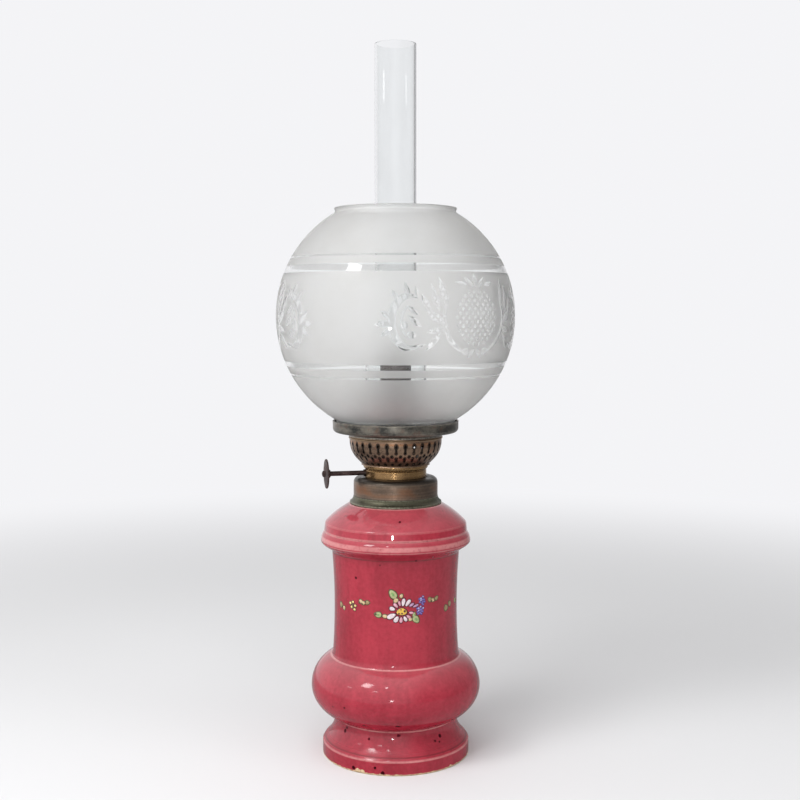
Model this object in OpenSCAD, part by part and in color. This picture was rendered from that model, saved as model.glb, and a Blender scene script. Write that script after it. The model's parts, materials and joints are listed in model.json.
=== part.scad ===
// Porcelain table oil lamp with a round-wick burner, ball shade and glass chimney.
// The foot stands on z = 0 and the lamp's axis is the z axis. The winder knob points to -x.

/* [Porcelain stand] */
// Radius of the foot
foot_r = 61.7; // [60:0.1:66]
// Height of the foot's straight band
foot_band_h = 11.2; // [8:0.2:14]
// Step inwards above the foot's band
foot_step = 1.4; // [0.6:0.1:2]
// Height of the narrow bevel above the foot's band
foot_bevel_h = 2.1; // [1:0.1:4]
// Width of the ring that touches the table
foot_ring_w = 9; // [6:0.5:12]
// Height of the hollow under the foot
foot_hollow_h = 8; // [5:0.5:9]
// Radius of the waist above the foot
waist_r = 51; // [48:0.5:53]
// Height of the waist
waist_z = 33; // [29:0.5:37]
// Radius of the bulge
bulge_r = 71; // [67:0.5:76]
// Height of the bulge's widest line
bulge_z = 58.5; // [53:0.5:63]
// Height of the crease between the bulge and the column
crease_z = 83.7; // [79:0.1:90]
// Width of the small hollow above the crease
crease_lip = 1.9; // [0.5:0.1:2.5]
// Height of the small hollow above the crease
crease_cove_h = 6; // [3:0.1:8]
// Radius at the column's lower end
column_low_r = 52.7; // [51.6:0.1:54.5]
// Radius at the column's narrowest line
column_mid_r = 51.4; // [49:0.1:51.5]
// Height of the column's narrowest line
column_mid_z = 127; // [115:1:140]
// Radius at the column's upper end
column_top_r = 53.2; // [52:0.1:56]
// Height of the column's upper end
column_top_z = 171.6; // [165:0.2:176]
// Radius of the bead under the shoulder
bead_r = 62.6; // [60.5:0.1:66]
// Height of the bead from the column to the shoulder band
bead_h = 17.4; // [14:0.1:22]
// Radius of the shoulder band
shoulder_r = 59.3; // [57:0.1:60.3]
// Height of the shoulder band
shoulder_band_h = 5.4; // [3:0.1:9]
// Radius of the shoulder's round edge
shoulder_round = 3.7; // [2:0.1:6]
// Slope of the shoulder at its round edge in degrees
shoulder_edge_slope = 45.7; // [38:0.1:52]
// Slope of the shoulder at the top lip in degrees
shoulder_slope = 27.7; // [20:0.1:34]
// Radius of the porcelain's top lip
lip_r = 38; // [37.5:0.1:41]
// Thickness of the porcelain
porcelain_t = 6.5; // [4:0.5:8]

/* [Collar and oil container] */
// Radius of the hole in the collar ring
collar_hole_r = 33.2; // [32:0.1:34.4]
// Thickness of the collar's skirt
collar_skirt_t = 0.7; // [0.5:0.1:1]
// Thickness of the plaster bed around the skirt
plaster_t = 1.5; // [1:0.1:2]
// Depth of the plaster bed
plaster_h = 9; // [6:0.5:9.5]
// Height of the collar ring above the porcelain
collar_h = 6; // [4:0.2:8]
// Sheet thickness of the oil container and its cap
sheet_t = 0.9; // [0.6:0.1:1.2]
// Depth of the oil container below the collar
font_depth = 104; // [80:1:110]
// Outer radius of the domed cap
cap_r = 35.1; // [34.8:0.1:36]
// Height of the domed cap
cap_h = 15.7; // [13:0.1:19]
// Radius of the cap's round edge
cap_round = 4.6; // [3:0.1:6]
// Radius of the socket's bore that takes the burner
socket_bore_r = 20.5; // [20:0.1:21.2]
// Wall of the socket
socket_t = 2; // [1.5:0.1:2.2]
// Length of the socket
socket_h = 10; // [7:0.5:12]
// Thickness of the sealing washer
washer_t = 0.5; // [0.4:0.1:0.9]

/* [Burner] */
// Outer radius of the winder housing
housing_r = 25.65; // [25.4:0.05:27]
// Height of the winder housing
housing_h = 10.1; // [9.6:0.1:13]
// Wall of the winder housing
housing_t = 0.75; // [0.6:0.05:0.9]
// Thickness of the burner's base plate
plate_t = 0.8; // [0.6:0.1:0.9]
// Length of the threaded plug below the base plate
plug_h = 9.2; // [6:0.2:11]
// Wall of the threaded plug
plug_t = 2.2; // [1.5:0.1:2.3]
// Outer radius of the wick tube
wick_tube_r = 12.8; // [12.6:0.1:13]
// Height of the wick tube's mouth above the cap
wick_tube_h = 100.3; // [90:0.5:104]
// Wall of the wick tube and the draught tube
tube_t = 0.5; // [0.4:0.05:0.6]
// Outer radius of the inner draught tube
draught_r = 8.6; // [8:0.1:8.8]
// Outer radius of the wick
wick_r = 11.4; // [11.2:0.1:11.6]
// Thickness of the wick
wick_t = 2.4; // [2:0.1:2.5]
// Length of the wick's tail below the cap
wick_tail = 99; // [60:1:100]
// Width of the air window at the wick tube's back
window_w = 9; // [6:0.5:10]
// Height of the air window
window_h = 12; // [8:0.5:16]

/* [Winder] */
// Radius of the spindle
spindle_r = 2; // [1.8:0.1:2.1]
// Distance from the lamp's axis to the knob's middle
knob_reach = 58.4; // [52:0.2:66]
// Radius of the knob
knob_r = 12.2; // [9:0.1:13]
// Thickness of the knob at its middle
knob_t = 3.2; // [2.4:0.1:4]
// Thickness of the knob at its rim
knob_rim_t = 1.7; // [1:0.1:2.2]
// Number of grooves in the knob's edge
knob_grooves = 40; // [24:1:60]
// Module of the pinion and the rack
gear_module = 0.7; // [0.6:0.05:0.75]
// Number of teeth of the pinion
pinion_teeth = 10; // [9:1:11]
// Length of the pinion along the spindle
pinion_w = 2.6; // [2:0.1:3]
// How far the wick rises from its rest place
wick_up = 8; // [4:0.5:8]
// How far the wick sinks from its rest place
wick_down = 18; // [8:0.5:18]

/* [Gallery] */
// Radius at the basket's upper end
basket_r = 38.4; // [37.6:0.1:39]
// Height of the basket
basket_h = 24; // [21:0.2:28]
// Radius of the basket's curved side
basket_curve = 22; // [19:0.5:26]
// Number of keyholes around the basket
basket_holes = 32; // [24:1:36]
// Width of the keyholes' pointed heads
keyhole_w = 2.9; // [1.6:0.1:3.4]
// Radius of the basket's upper bead
basket_bead = 0.8; // [0.5:0.1:1]
// Outer radius of the shade ring
shade_ring_r = 52.3; // [51.8:0.1:55]
// Height of the shade ring's upright lip
shade_lip_h = 8.4; // [5:0.2:10]
// Height of the shade ring's floor above the basket
shade_floor_h = 4.2; // [3.4:0.1:6]
// Thickness of the shade ring
shade_ring_t = 1.1; // [0.8:0.1:1.2]
// Number of spring prongs that hold the chimney
prongs = 12; // [8:1:16]
// Height of the prongs above the basket
prong_h = 13; // [9:0.5:15]
// Width of the slots between the prongs
prong_slot_w = 1.6; // [0.8:0.1:2.4]
// Number of air holes in the gallery plate
gallery_holes = 24; // [12:1:30]

/* [Glass] */
// Radius of the ball shade
globe_r = 98.6; // [92:0.2:106]
// Radius of the ball shade's lower neck
globe_neck_r = 49.3; // [48:0.1:50]
// Radius of the ball shade's top opening
globe_top_r = 49.5; // [46:0.1:54]
// Height of the ball shade's top rim
globe_rim_h = 3.6; // [2:0.2:8]
// Thickness of the ball shade's glass
globe_t = 3; // [2:0.1:4]
// Radius of the chimney's foot
chimney_foot_r = 25.5; // [24.5:0.1:25.6]
// Radius of the chimney's upper tube
chimney_r = 17.2; // [16.5:0.1:20]
// Radius of the chimney's pinched neck
chimney_neck_r = 15.8; // [15.4:0.1:16.4]
// Height of the chimney
chimney_h = 322.8; // [280:1:360]
// Thickness of the chimney's glass
chimney_t = 1.6; // [1.2:0.1:2]

/* [Hidden] */
$fn = 96;
eps = 0.01;
// Small gap between pieces that are soldered or cemented together
seat_gap = 0.05;
// Running clearance of a turning spindle
run_gap = 0.05;
// Clearance of pieces that slide past one another
slide_gap = 0.3;
// How far a cutter reaches past the face that it cuts
past = 1;
// Steps of the outlines' long, middling and short curves
long_curve = 16;
mid_curve = 8;
short_curve = 6;

// Porcelain stand
foot_r_in = foot_r - foot_ring_w;
foot_edge = 0.8;
foot_bevel_z = foot_band_h + foot_bevel_h;
floor_z = foot_hollow_h + porcelain_t + 2;
// Angles at which the curves of the stand end, measured from upright
foot_cove_turn = -37;
bulge_low_turn = -63;
bulge_top_turn = 70;
crease_turn = -88;
bead_turn = 61;
// Small ridges at the waist and under the shoulder band
waist_ridge = 0.7;
band_ridge = 0.5;
crease_r = column_low_r + crease_lip;
column_low_z = crease_z + crease_cove_h;
bead_mid_z = column_top_z + 0.53 * bead_h;
band_low_z = column_top_z + bead_h;
band_top_z = band_low_z + shoulder_band_h;
edge_arc = 90 - shoulder_edge_slope;
lip_arc = 90 - shoulder_slope;
slope_r = shoulder_r - shoulder_round * (1 - cos(edge_arc));
slope_z = band_top_z + shoulder_round * sin(edge_arc);
dome_r = (slope_r - lip_r) / (cos(edge_arc) - cos(lip_arc));
stand_h = slope_z + dome_r * (sin(lip_arc) - sin(edge_arc));
cavity_r = column_mid_r - porcelain_t;
// Width and height of the slanted corners inside the stand
inner_corner = 3;

// Collar and oil container
mouth_r = collar_hole_r + collar_skirt_t + plaster_t + 2 * seat_gap;
plaster_z = stand_h - plaster_h;
skirt_z = plaster_z + 1;
collar_z = stand_h + seat_gap;
collar_low_r = lip_r + 0.3;
collar_edge_h = 0.2 * collar_h;
collar_turn = -60;
collar_top_z = collar_z + collar_h;
collar_top_r = cap_r + 0.2;
font_r = collar_hole_r - slide_gap;
font_corner = 2;
font_rim_h = 4;
socket_flange_w = 2;
font_low_z = collar_top_z - font_depth;
cap_top_z = collar_top_z + cap_h;
cap_hole_r = socket_bore_r + socket_t + seat_gap;

// Burner
washer_z = cap_top_z;
plate_z = washer_z + washer_t;
plate_r = housing_r - housing_t - seat_gap;
plug_r = socket_bore_r - run_gap;
plug_bore_r = plug_r - plug_t;
housing_z = cap_top_z + 0.2;
housing_top_z = housing_z + housing_h;
housing_in_r = housing_r - housing_t;
housing_groove_z = housing_z + 0.58 * housing_h;
housing_groove_h = 1;
housing_groove_t = 0.35;
housing_bead_r = housing_r + 1.4;
housing_bead_h = 0.8;
cover_z = housing_top_z - plate_t;
tube_below_cap = 3.4;
tube_low_z = cap_top_z - tube_below_cap;
tube_top_z = cap_top_z + wick_tube_h;
tube_bore_r = wick_tube_r - tube_t;
tube_hole_r = wick_tube_r + seat_gap;
window_z = housing_top_z + 6;
window_gap = 0.3;
wick_top_z = tube_top_z + 1;
wick_low_z = cap_top_z - wick_tail;
wick_slit = window_w + 1.2;

// Winder
spindle_z = plate_z + plate_t + spindle_r + 0.2;
pitch_r = gear_module * pinion_teeth / 2;
tooth_pitch = gear_module * PI;
addendum = 0.85 * gear_module;
dedendum = 1.15 * gear_module;
backlash = 0.1;
pinion_in_x = wick_tube_r + 1.7;
pinion_out_x = pinion_in_x + pinion_w;
journal_r = 1.5;
pivot_r = 1;
pivot_x = wick_tube_r + 0.4;
bearing_t = 1.3;
bearing_w = 4.8;
bearing_h = 4.4;
rack_back_y = pitch_r + dedendum + 1.6;
rack_in_x = pinion_in_x + 0.2;
rack_out_x = pinion_out_x - 0.2;
rack_low_z = spindle_z - wick_up - 3;
rack_top_z = spindle_z + wick_down + 3;
carrier_h = 4.5;
carrier_t = 0.6;
carrier_z = rack_low_z - 1.5;
arm_h = 2.2;
arm_low_y = pitch_r - 0.3;
arm_end_x = 3;
slot_room = 0.8;
guide_t = 1;
guide_gap = 0.2;
gland_r = 2.9;
gland_reach = 1.6;
gland_in_x = housing_in_r - gland_reach;
gland_out_x = housing_r + gland_reach;
packing_t = 0.5;
packing_l = 0.8;
recess_l = 1;
knob_x = knob_reach + knob_t / 2;
knob_hub_r = 3.4;
knob_hub_h = 1.6;
knob_bevel_w = 1.4;
knob_edge = 0.3;
hub_edge = 0.5;
groove_r = 0.5;
nut_h = 1.5;
nut_r = 2.6;

// Gallery
basket_z = housing_top_z;
basket_top_z = basket_z + basket_h;
basket_arc_z = basket_top_z - 3.8;
basket_arc_end = -45;
basket_cone_r = basket_r - basket_curve * (1 - cos(basket_arc_end));
basket_cone_z = basket_arc_z + basket_curve * sin(basket_arc_end);
basket_foot_r = basket_cone_r - (basket_cone_z - basket_z - sheet_t);
basket_side_h = basket_arc_z - basket_cone_z;
basket_bead_z = basket_top_z - 1.4;
basket_bead_h = 0.8;
// Heights of the four rows of holes
keyhole_z = basket_arc_z - 0.31 * basket_side_h;
diamond_z = basket_arc_z - 0.66 * basket_side_h;
small_keyhole_z = basket_arc_z - 0.84 * basket_side_h;
dot_z = basket_cone_z - 0.12 * basket_side_h;
// Sizes of the keyholes as head width, head height, slot width, slot height and dot radius
keyhole = [keyhole_w, 3.6, 0.9, 3.3, 0.95];
small_keyhole = [0.72 * keyhole_w, 2, 0.9, 0.9, 0.7];
diamond_r = 1.15;
dot_r = 0.75;
gallery_t = 0.8;
gallery_hole_r = 3;
gallery_rim = 1.6;
prong_in_r = chimney_foot_r + slide_gap;
prong_t = 0.6;
prong_out_r = prong_in_r + prong_t;
prong_top_z = basket_top_z + prong_h;
prong_flare = 0.9;
prong_flare_h = 2.5;
prong_slot_z = basket_top_z + 1.4;
ledge_w = 2.3;
ledge_z = basket_top_z - 2.8;
ledge_t = 0.8;
ring_hole_r = prong_out_r + 7.5;
ring_corner = 3.6;
ring_rim = 0.4;
ring_floor_z = basket_top_z + shade_floor_h;
ring_neck_h = 2;
ring_seat_r = basket_r + 0.6;
ring_lip_z = ring_floor_z + shade_lip_h;

// Glass
globe_low_z = ring_floor_z;
globe_neck_z = ring_lip_z + 0.6;
globe_mid_z = globe_neck_z + sqrt(globe_r * globe_r - globe_neck_r * globe_neck_r);
globe_top_z = globe_mid_z + sqrt(globe_r * globe_r - globe_top_r * globe_top_r);
globe_flare = 1.1;
globe_curve = 56;
globe_edge = min(1, 0.3 * globe_t);
chimney_z = ledge_z;
chimney_top_z = chimney_z + chimney_h;
chimney_shoulder_z = tube_top_z + 3;
chimney_shoulder_h = 12;
chimney_neck_z = chimney_shoulder_z + chimney_shoulder_h;
chimney_tube_z = chimney_neck_z + 14;

// Points on an elliptic arc in the profile plane
function arc(r, z, a, b, from, to, n) =
    [for (i = [0:n]) let (t = from + (to - from) * i / n) [r + a * cos(t), z + b * sin(t)]];

// Arc that is upright at r_up, z_up and has turned by the given angle at r_end, z_end
function swell(r_up, z_up, r_end, z_end, turn, n) =
    let (a = (r_up - r_end) / (1 - cos(turn)), b = (z_end - z_up) / sin(turn))
    arc(r_up - a, z_up, a, b, 0, turn, n);

// Soft double curve between two points, upright at both ends
function ogee(r1, z1, r2, z2, n) =
    [for (i = [0:n]) [r2 + (r1 - r2) * (1 + cos(180 * i / n)) / 2, z1 + (z2 - z1) * i / n]];

// Stretch of a shallow parabola that is narrowest at r_mid, z_mid
function hollow(r_mid, z_mid, r_end, z_end, n) =
    [for (i = [0:n]) [r_mid + (r_end - r_mid) * pow(i / n, 2), z_mid + (z_end - z_mid) * i / n]];

function reversed(list) = [for (i = [len(list) - 1:-1:0]) list[i]];

// All points of a list but its first
function rest(list) = [for (i = [1:len(list) - 1]) list[i]];

// Porcelain stand

function stand_outside() = concat(
    [[foot_r_in, 0], [foot_r - foot_edge, 0], [foot_r, foot_edge], [foot_r, foot_band_h]],
    reversed(swell(waist_r, waist_z - waist_ridge, foot_r - foot_step, foot_bevel_z,
        foot_cove_turn, long_curve)),
    [[waist_r + waist_ridge, waist_z - waist_ridge]],
    reversed(swell(bulge_r, bulge_z, waist_r + waist_ridge, waist_z, bulge_low_turn, long_curve)),
    rest(swell(bulge_r, bulge_z, crease_r, crease_z, bulge_top_turn, long_curve)),
    rest(reversed(swell(column_low_r, column_low_z, crease_r, crease_z, crease_turn, short_curve))),
    rest(reversed(hollow(column_mid_r, column_mid_z, column_low_r, column_low_z, short_curve))),
    rest(hollow(column_mid_r, column_mid_z, column_top_r, column_top_z, short_curve)),
    rest(ogee(column_top_r, column_top_z, bead_r, bead_mid_z, long_curve)),
    rest(swell(bead_r, bead_mid_z, shoulder_r - 0.2, band_low_z - 0.2, bead_turn, short_curve)),
    [[shoulder_r + band_ridge, band_low_z]],
    arc(shoulder_r - shoulder_round, band_top_z, shoulder_round, shoulder_round, 0, edge_arc, short_curve),
    rest(arc(slope_r - dome_r * cos(edge_arc), slope_z - dome_r * sin(edge_arc), dome_r, dome_r,
        edge_arc, lip_arc, mid_curve))
);

function stand_inside() = concat(
    [[mouth_r, stand_h], [mouth_r, plaster_z - 1], [cavity_r, band_top_z - inner_corner]],
    reversed(swell(bulge_r - porcelain_t, bulge_z, cavity_r, crease_z, 80, mid_curve)),
    rest(swell(bulge_r - porcelain_t, bulge_z, waist_r - porcelain_t, waist_z, -80, mid_curve)),
    [[waist_r - porcelain_t, floor_z + inner_corner], [waist_r - porcelain_t - inner_corner, floor_z],
     [0, floor_z]]
);

module porcelain_body() {
    under = [[0, foot_hollow_h], [foot_r_in - inner_corner, foot_hollow_h],
        [foot_r_in, foot_hollow_h - inner_corner]];
    color("#b83c4e")
        rotate_extrude()
            polygon(concat(stand_outside(), rest(stand_inside()), under));
}

module plaster_bed() {
    color("#d9d3c4")
        translate([0, 0, plaster_z])
            tube(mouth_r - seat_gap, mouth_r - seat_gap - plaster_t, plaster_h);
}

module collar_ring() {
    skirt_r = collar_hole_r + collar_skirt_t;
    color("#5d6b57")
        rotate_extrude()
            polygon(concat(
                [[collar_hole_r, skirt_z], [skirt_r, skirt_z], [skirt_r, collar_z], [collar_low_r, collar_z]],
                reversed(swell(collar_top_r, collar_top_z, collar_low_r, collar_z + collar_edge_h,
                    collar_turn, short_curve)),
                [[collar_hole_r, collar_top_z]]
            ));
}

// Upright tube with its lower end at z = 0
module tube(r_out, r_in, h) {
    difference() {
        cylinder(h = h, r = r_out);
        translate([0, 0, -past])
            cylinder(h = h + 2 * past, r = r_in);
    }
}

// Oil container and its cap

module oil_font() {
    flange_r = cap_r - sheet_t - seat_gap;
    color("#8d8674")
        rotate_extrude()
            polygon([
                [0, font_low_z], [font_r - font_corner, font_low_z], [font_r, font_low_z + font_corner],
                [font_r, collar_top_z], [flange_r, collar_top_z], [flange_r, collar_top_z + sheet_t],
                [font_r, collar_top_z + sheet_t], [font_r, collar_top_z + font_rim_h],
                [font_r - sheet_t, collar_top_z + font_rim_h],
                [font_r - sheet_t, font_low_z + font_corner + sheet_t / 2],
                [font_r - font_corner - sheet_t / 2, font_low_z + sheet_t], [0, font_low_z + sheet_t]
            ]);
}

// Outline of the domed cap from its rim to its flat top
function cap_side(inset) = concat(
    [[cap_r - inset, collar_top_z]],
    arc(cap_r - cap_round, cap_top_z - cap_round, cap_round - inset, cap_round - inset, 0, 90, mid_curve)
);

module font_cap() {
    color("#6f6a55")
        rotate_extrude()
            polygon(concat(
                cap_side(0),
                [[cap_hole_r, cap_top_z], [cap_hole_r, cap_top_z - sheet_t]],
                reversed(cap_side(sheet_t))
            ));
}

module font_socket() {
    socket_r = socket_bore_r + socket_t;
    flange_z = cap_top_z - sheet_t - seat_gap;
    color("#9a8148")
        difference() {
            union() {
                translate([0, 0, cap_top_z - socket_h])
                    cylinder(h = socket_h, r = socket_r);
                translate([0, 0, flange_z - sheet_t])
                    cylinder(h = sheet_t, r = socket_r + socket_flange_w);
            }
            translate([0, 0, cap_top_z - socket_h - past])
                cylinder(h = socket_h + 2 * past, r = socket_bore_r);
        }
}

// Burner

module burner_washer() {
    color("#4a3626")
        translate([0, 0, washer_z])
            tube(plate_r, plug_r + slide_gap, washer_t);
}

// Opening through a plate, from the wick tube's hole outwards, for the pinion and for the rack with its arm
module winder_opening(z, h) {
    half_w = pitch_r + addendum + slide_gap;
    translate([-pinion_out_x - 1, -half_w, z - past])
        cube([pinion_out_x + 1, half_w + rack_back_y + slide_gap, h + 2 * past]);
}

module burner_plug() {
    color("#8a7038")
        difference() {
            union() {
                translate([0, 0, plate_z - plug_h])
                    cylinder(h = plug_h + eps, r = plug_r);
                translate([0, 0, plate_z])
                    cylinder(h = plate_t, r = plate_r);
            }
            translate([0, 0, plate_z - plug_h - past])
                cylinder(h = plug_h + past, r = plug_bore_r);
            translate([0, 0, plate_z - past])
                cylinder(h = plate_t + 2 * past, r = tube_hole_r);
            winder_opening(plate_z, plate_t);
            translate([-plate_r - past, -gland_r - slide_gap, plate_z - eps])
                cube([plate_r + past - pinion_in_x, 2 * (gland_r + slide_gap), plate_t + past]);
        }
}

module wick_housing() {
    groove_low_z = housing_groove_z - housing_groove_h / 2;
    groove_top_z = housing_groove_z + housing_groove_h / 2;
    color("#b98a3a")
        difference() {
            rotate_extrude()
                polygon(concat(
                    [[housing_in_r, housing_z], [housing_r, housing_z], [housing_r, groove_low_z],
                     [housing_r - housing_groove_t, housing_groove_z], [housing_r, groove_top_z]],
                    reversed(swell(housing_bead_r, housing_top_z - housing_bead_h,
                        housing_r + 0.1, groove_top_z + 0.4, -70, short_curve)),
                    [[housing_bead_r, housing_top_z], [housing_in_r, housing_top_z]]
                ));
            translate([0, 0, spindle_z])
                rotate([0, -90, 0])
                    cylinder(h = housing_bead_r + past, r = gland_r + seat_gap);
        }
}

module housing_cover() {
    color("#7d6334")
        difference() {
            translate([0, 0, cover_z])
                tube(plate_r, tube_hole_r, plate_t);
            winder_opening(cover_z, plate_t);
        }
}

module wick_tube() {
    slot_top_z = rack_low_z + arm_h + wick_up + slot_room;
    slot_y = arm_low_y - slide_gap;
    color("#4b3d2c")
        difference() {
            translate([0, 0, tube_low_z])
                tube(wick_tube_r, tube_bore_r, tube_top_z - tube_low_z);
            translate([-wick_tube_r - past, slot_y, tube_low_z - past])
                cube([wick_tube_r + past, rack_back_y + slide_gap - slot_y, slot_top_z - tube_low_z + past]);
            translate([0, -window_w / 2 - seat_gap, window_z - seat_gap])
                cube([wick_tube_r + past, window_w + 2 * seat_gap, window_h + 2 * seat_gap]);
        }
}

module draught_tube() {
    bore_r = draught_r - tube_t;
    color("#5a4a34")
        difference() {
            union() {
                translate([0, 0, window_z])
                    cylinder(h = tube_top_z - 1 - window_z, r = draught_r);
                translate([0, -window_w / 2, window_z])
                    cube([wick_tube_r - window_gap, window_w, window_h]);
            }
            translate([0, 0, window_z + tube_t])
                cylinder(h = tube_top_z, r = bore_r);
            translate([0, -window_w / 2 + tube_t, window_z + tube_t])
                cube([wick_tube_r + past, window_w - 2 * tube_t, window_h - 2 * tube_t]);
        }
}

// Plate behind the rack that keeps it in mesh
module rack_guide() {
    guide_y = rack_back_y + guide_gap;
    color("#7d6334")
        difference() {
            translate([-rack_out_x, guide_y, plate_z + plate_t])
                cube([rack_out_x, guide_t, cover_z - plate_z - plate_t]);
            translate([0, 0, plate_z])
                cylinder(h = housing_h, r = wick_tube_r + seat_gap);
            translate([0, 0, plate_z])
                cube([housing_r, housing_r, housing_h]);
        }
}

// Block on the wick tube that holds the spindle's inner end
module spindle_bearing() {
    color("#8a7038")
        difference() {
            translate([-wick_tube_r - bearing_t, -bearing_w / 2, spindle_z - bearing_h / 2])
                cube([bearing_t + past, bearing_w, bearing_h]);
            cylinder(h = tube_top_z, r = wick_tube_r + seat_gap);
            translate([0, 0, spindle_z])
                rotate([0, -90, 0])
                    cylinder(h = housing_r, r = pivot_r + run_gap);
        }
}

module spindle_gland() {
    color("#8a7038")
        translate([-gland_in_x, 0, spindle_z])
            rotate([0, -90, 0])
                difference() {
                    cylinder(h = gland_out_x - gland_in_x, r = gland_r);
                    translate([0, 0, -past])
                        cylinder(h = housing_r, r = spindle_r + run_gap);
                    translate([0, 0, -past])
                        cylinder(h = recess_l + past, r = spindle_r + packing_t);
                }
}

// Ring of packing in the gland's inner end
module gland_packing() {
    color("#2e2a26")
        translate([-gland_in_x, 0, spindle_z])
            rotate([0, -90, 0])
                translate([0, 0, (recess_l - packing_l) / 2])
                    tube(spindle_r + packing_t - seat_gap, spindle_r + run_gap, packing_l);
}

// Winder

module spindle() {
    color("#3b322b")
        translate([0, 0, spindle_z])
            rotate([0, -90, 0]) {
                translate([0, 0, pivot_x])
                    cylinder(h = pinion_in_x - pivot_x + eps, r = pivot_r);
                translate([0, 0, pinion_in_x])
                    cylinder(h = pinion_w + eps, r = journal_r);
                translate([0, 0, pinion_out_x])
                    cylinder(h = knob_x - knob_t - knob_hub_h - pinion_out_x + eps, r = spindle_r);
                translate([0, 0, knob_x - knob_t - knob_hub_h])
                    cylinder(h = knob_t + knob_hub_h + 2, r = journal_r);
            }
}

// One tooth's corners on the pinion, seen along the spindle, with a tooth on the first axis
function pinion_tooth(at) =
    let (half = 90 / pinion_teeth - backlash / pitch_r * 57.3 / 2,
         tip_r = pitch_r + addendum,
         root_r = pitch_r - dedendum)
    [for (c = [[root_r, -1.25], [pitch_r, -1], [tip_r, -0.42], [tip_r, 0.42], [pitch_r, 1], [root_r, 1.25]])
        [c[0] * cos(at + c[1] * half), c[0] * sin(at + c[1] * half)]];

module wick_pinion() {
    corners = [for (i = [0:pinion_teeth - 1]) each pinion_tooth(i * 360 / pinion_teeth)];
    color("#a5853f")
        translate([-pinion_out_x, 0, spindle_z])
            rotate([90, 0, 90])
                difference() {
                    linear_extrude(height = pinion_w)
                        polygon(corners);
                    translate([0, 0, -past])
                        cylinder(h = pinion_w + 2 * past, r = journal_r + seat_gap);
                }
}

// Outline of the thumb wheel, thick in the middle and thin at its rim
function knob_side() =
    let (low = (knob_t - knob_rim_t) / 2, top = (knob_t + knob_rim_t) / 2)
    [[journal_r + seat_gap, -knob_hub_h], [knob_hub_r - hub_edge, -knob_hub_h],
     [knob_hub_r, hub_edge - knob_hub_h], [knob_hub_r, 0],
     [knob_r - knob_bevel_w, low], [knob_r - knob_edge, low + 0.2], [knob_r, low + 0.5],
     [knob_r, top - 0.5], [knob_r - knob_edge, top - 0.2], [knob_r - knob_bevel_w, top],
     [knob_hub_r, knob_t], [journal_r + seat_gap, knob_t]];

module wick_knob() {
    color("#46392f")
        translate([knob_t - knob_x, 0, spindle_z])
            rotate([0, -90, 0])
                difference() {
                    rotate_extrude()
                        polygon(knob_side());
                    for (i = [0:knob_grooves - 1])
                        rotate([0, 0, i * 360 / knob_grooves])
                            translate([knob_r + 0.2, 0, -past])
                                cylinder(h = knob_t + 2 * past, r = groove_r, $fn = 24);
                }
}

module knob_nut() {
    color("#3b322b")
        translate([-knob_x, 0, spindle_z])
            rotate([0, -90, 0])
                difference() {
                    cylinder(h = nut_h, r = nut_r, $fn = 6);
                    translate([0, 0, -past])
                        cylinder(h = nut_h + 2 * past, r = journal_r + seat_gap);
                }
}

// Wick, its carrier and the rack that lifts them

module wick() {
    color("#d8d0bb")
        difference() {
            translate([0, 0, wick_low_z])
                tube(wick_r, wick_r - wick_t, wick_top_z - wick_low_z);
            translate([0, -wick_slit / 2, wick_low_z - past])
                cube([wick_r + past, wick_slit, wick_top_z - wick_low_z + 2 * past]);
        }
}

module wick_carrier() {
    in_r = wick_r + seat_gap;
    color("#a5853f")
        difference() {
            translate([0, 0, carrier_z])
                tube(in_r + carrier_t, in_r, carrier_h);
            translate([0, -wick_slit / 2, carrier_z - past])
                cube([in_r + carrier_t + past, wick_slit, carrier_h + 2 * past]);
        }
}

module wick_rack() {
    root_y = pitch_r + dedendum;
    tip_y = pitch_r - addendum;
    half_w = tooth_pitch / 4 - backlash / 2;
    flank = tan(20);
    tip_w = half_w - addendum * flank;
    root_w = half_w + dedendum * flank;
    first = ceil((rack_low_z + 1 - spindle_z) / tooth_pitch - 0.5);
    last = floor((rack_top_z - 1 - spindle_z) / tooth_pitch - 0.5);
    teeth = [for (k = [first:last]) let (z = spindle_z + (k + 0.5) * tooth_pitch)
        each [[root_y, z - root_w], [tip_y, z - tip_w], [tip_y, z + tip_w], [root_y, z + root_w]]];
    color("#a5853f")
        union() {
            translate([-rack_out_x, 0, 0])
                rotate([90, 0, 90])
                    linear_extrude(height = rack_out_x - rack_in_x)
                        polygon(concat(
                            [[rack_back_y, rack_low_z], [root_y, rack_low_z]], teeth,
                            [[root_y, rack_top_z], [rack_back_y, rack_top_z]]
                        ));
            difference() {
                translate([-rack_out_x, root_y, rack_low_z])
                    cube([rack_out_x - arm_end_x, rack_back_y - root_y, arm_h]);
                translate([0, 0, rack_low_z - past])
                    cylinder(h = arm_h + 2 * past, r = wick_r + carrier_t + 2 * seat_gap);
            }
        }
}

// Gallery

// Outline of the basket's sheet, its face moved inwards by the given amount
function basket_side(inset) = concat(
    [[basket_foot_r - inset, basket_z + sheet_t]],
    arc(basket_r - basket_curve, basket_arc_z, basket_curve - inset, basket_curve - inset,
        basket_arc_end, 0, mid_curve)
);

// Rounded bead around the basket's rim
function basket_rim() = concat(
    arc(basket_r, basket_bead_z, basket_bead, basket_bead_h, -85, 85, short_curve),
    [[basket_r, basket_top_z], [basket_r - sheet_t, basket_top_z]]
);

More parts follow.
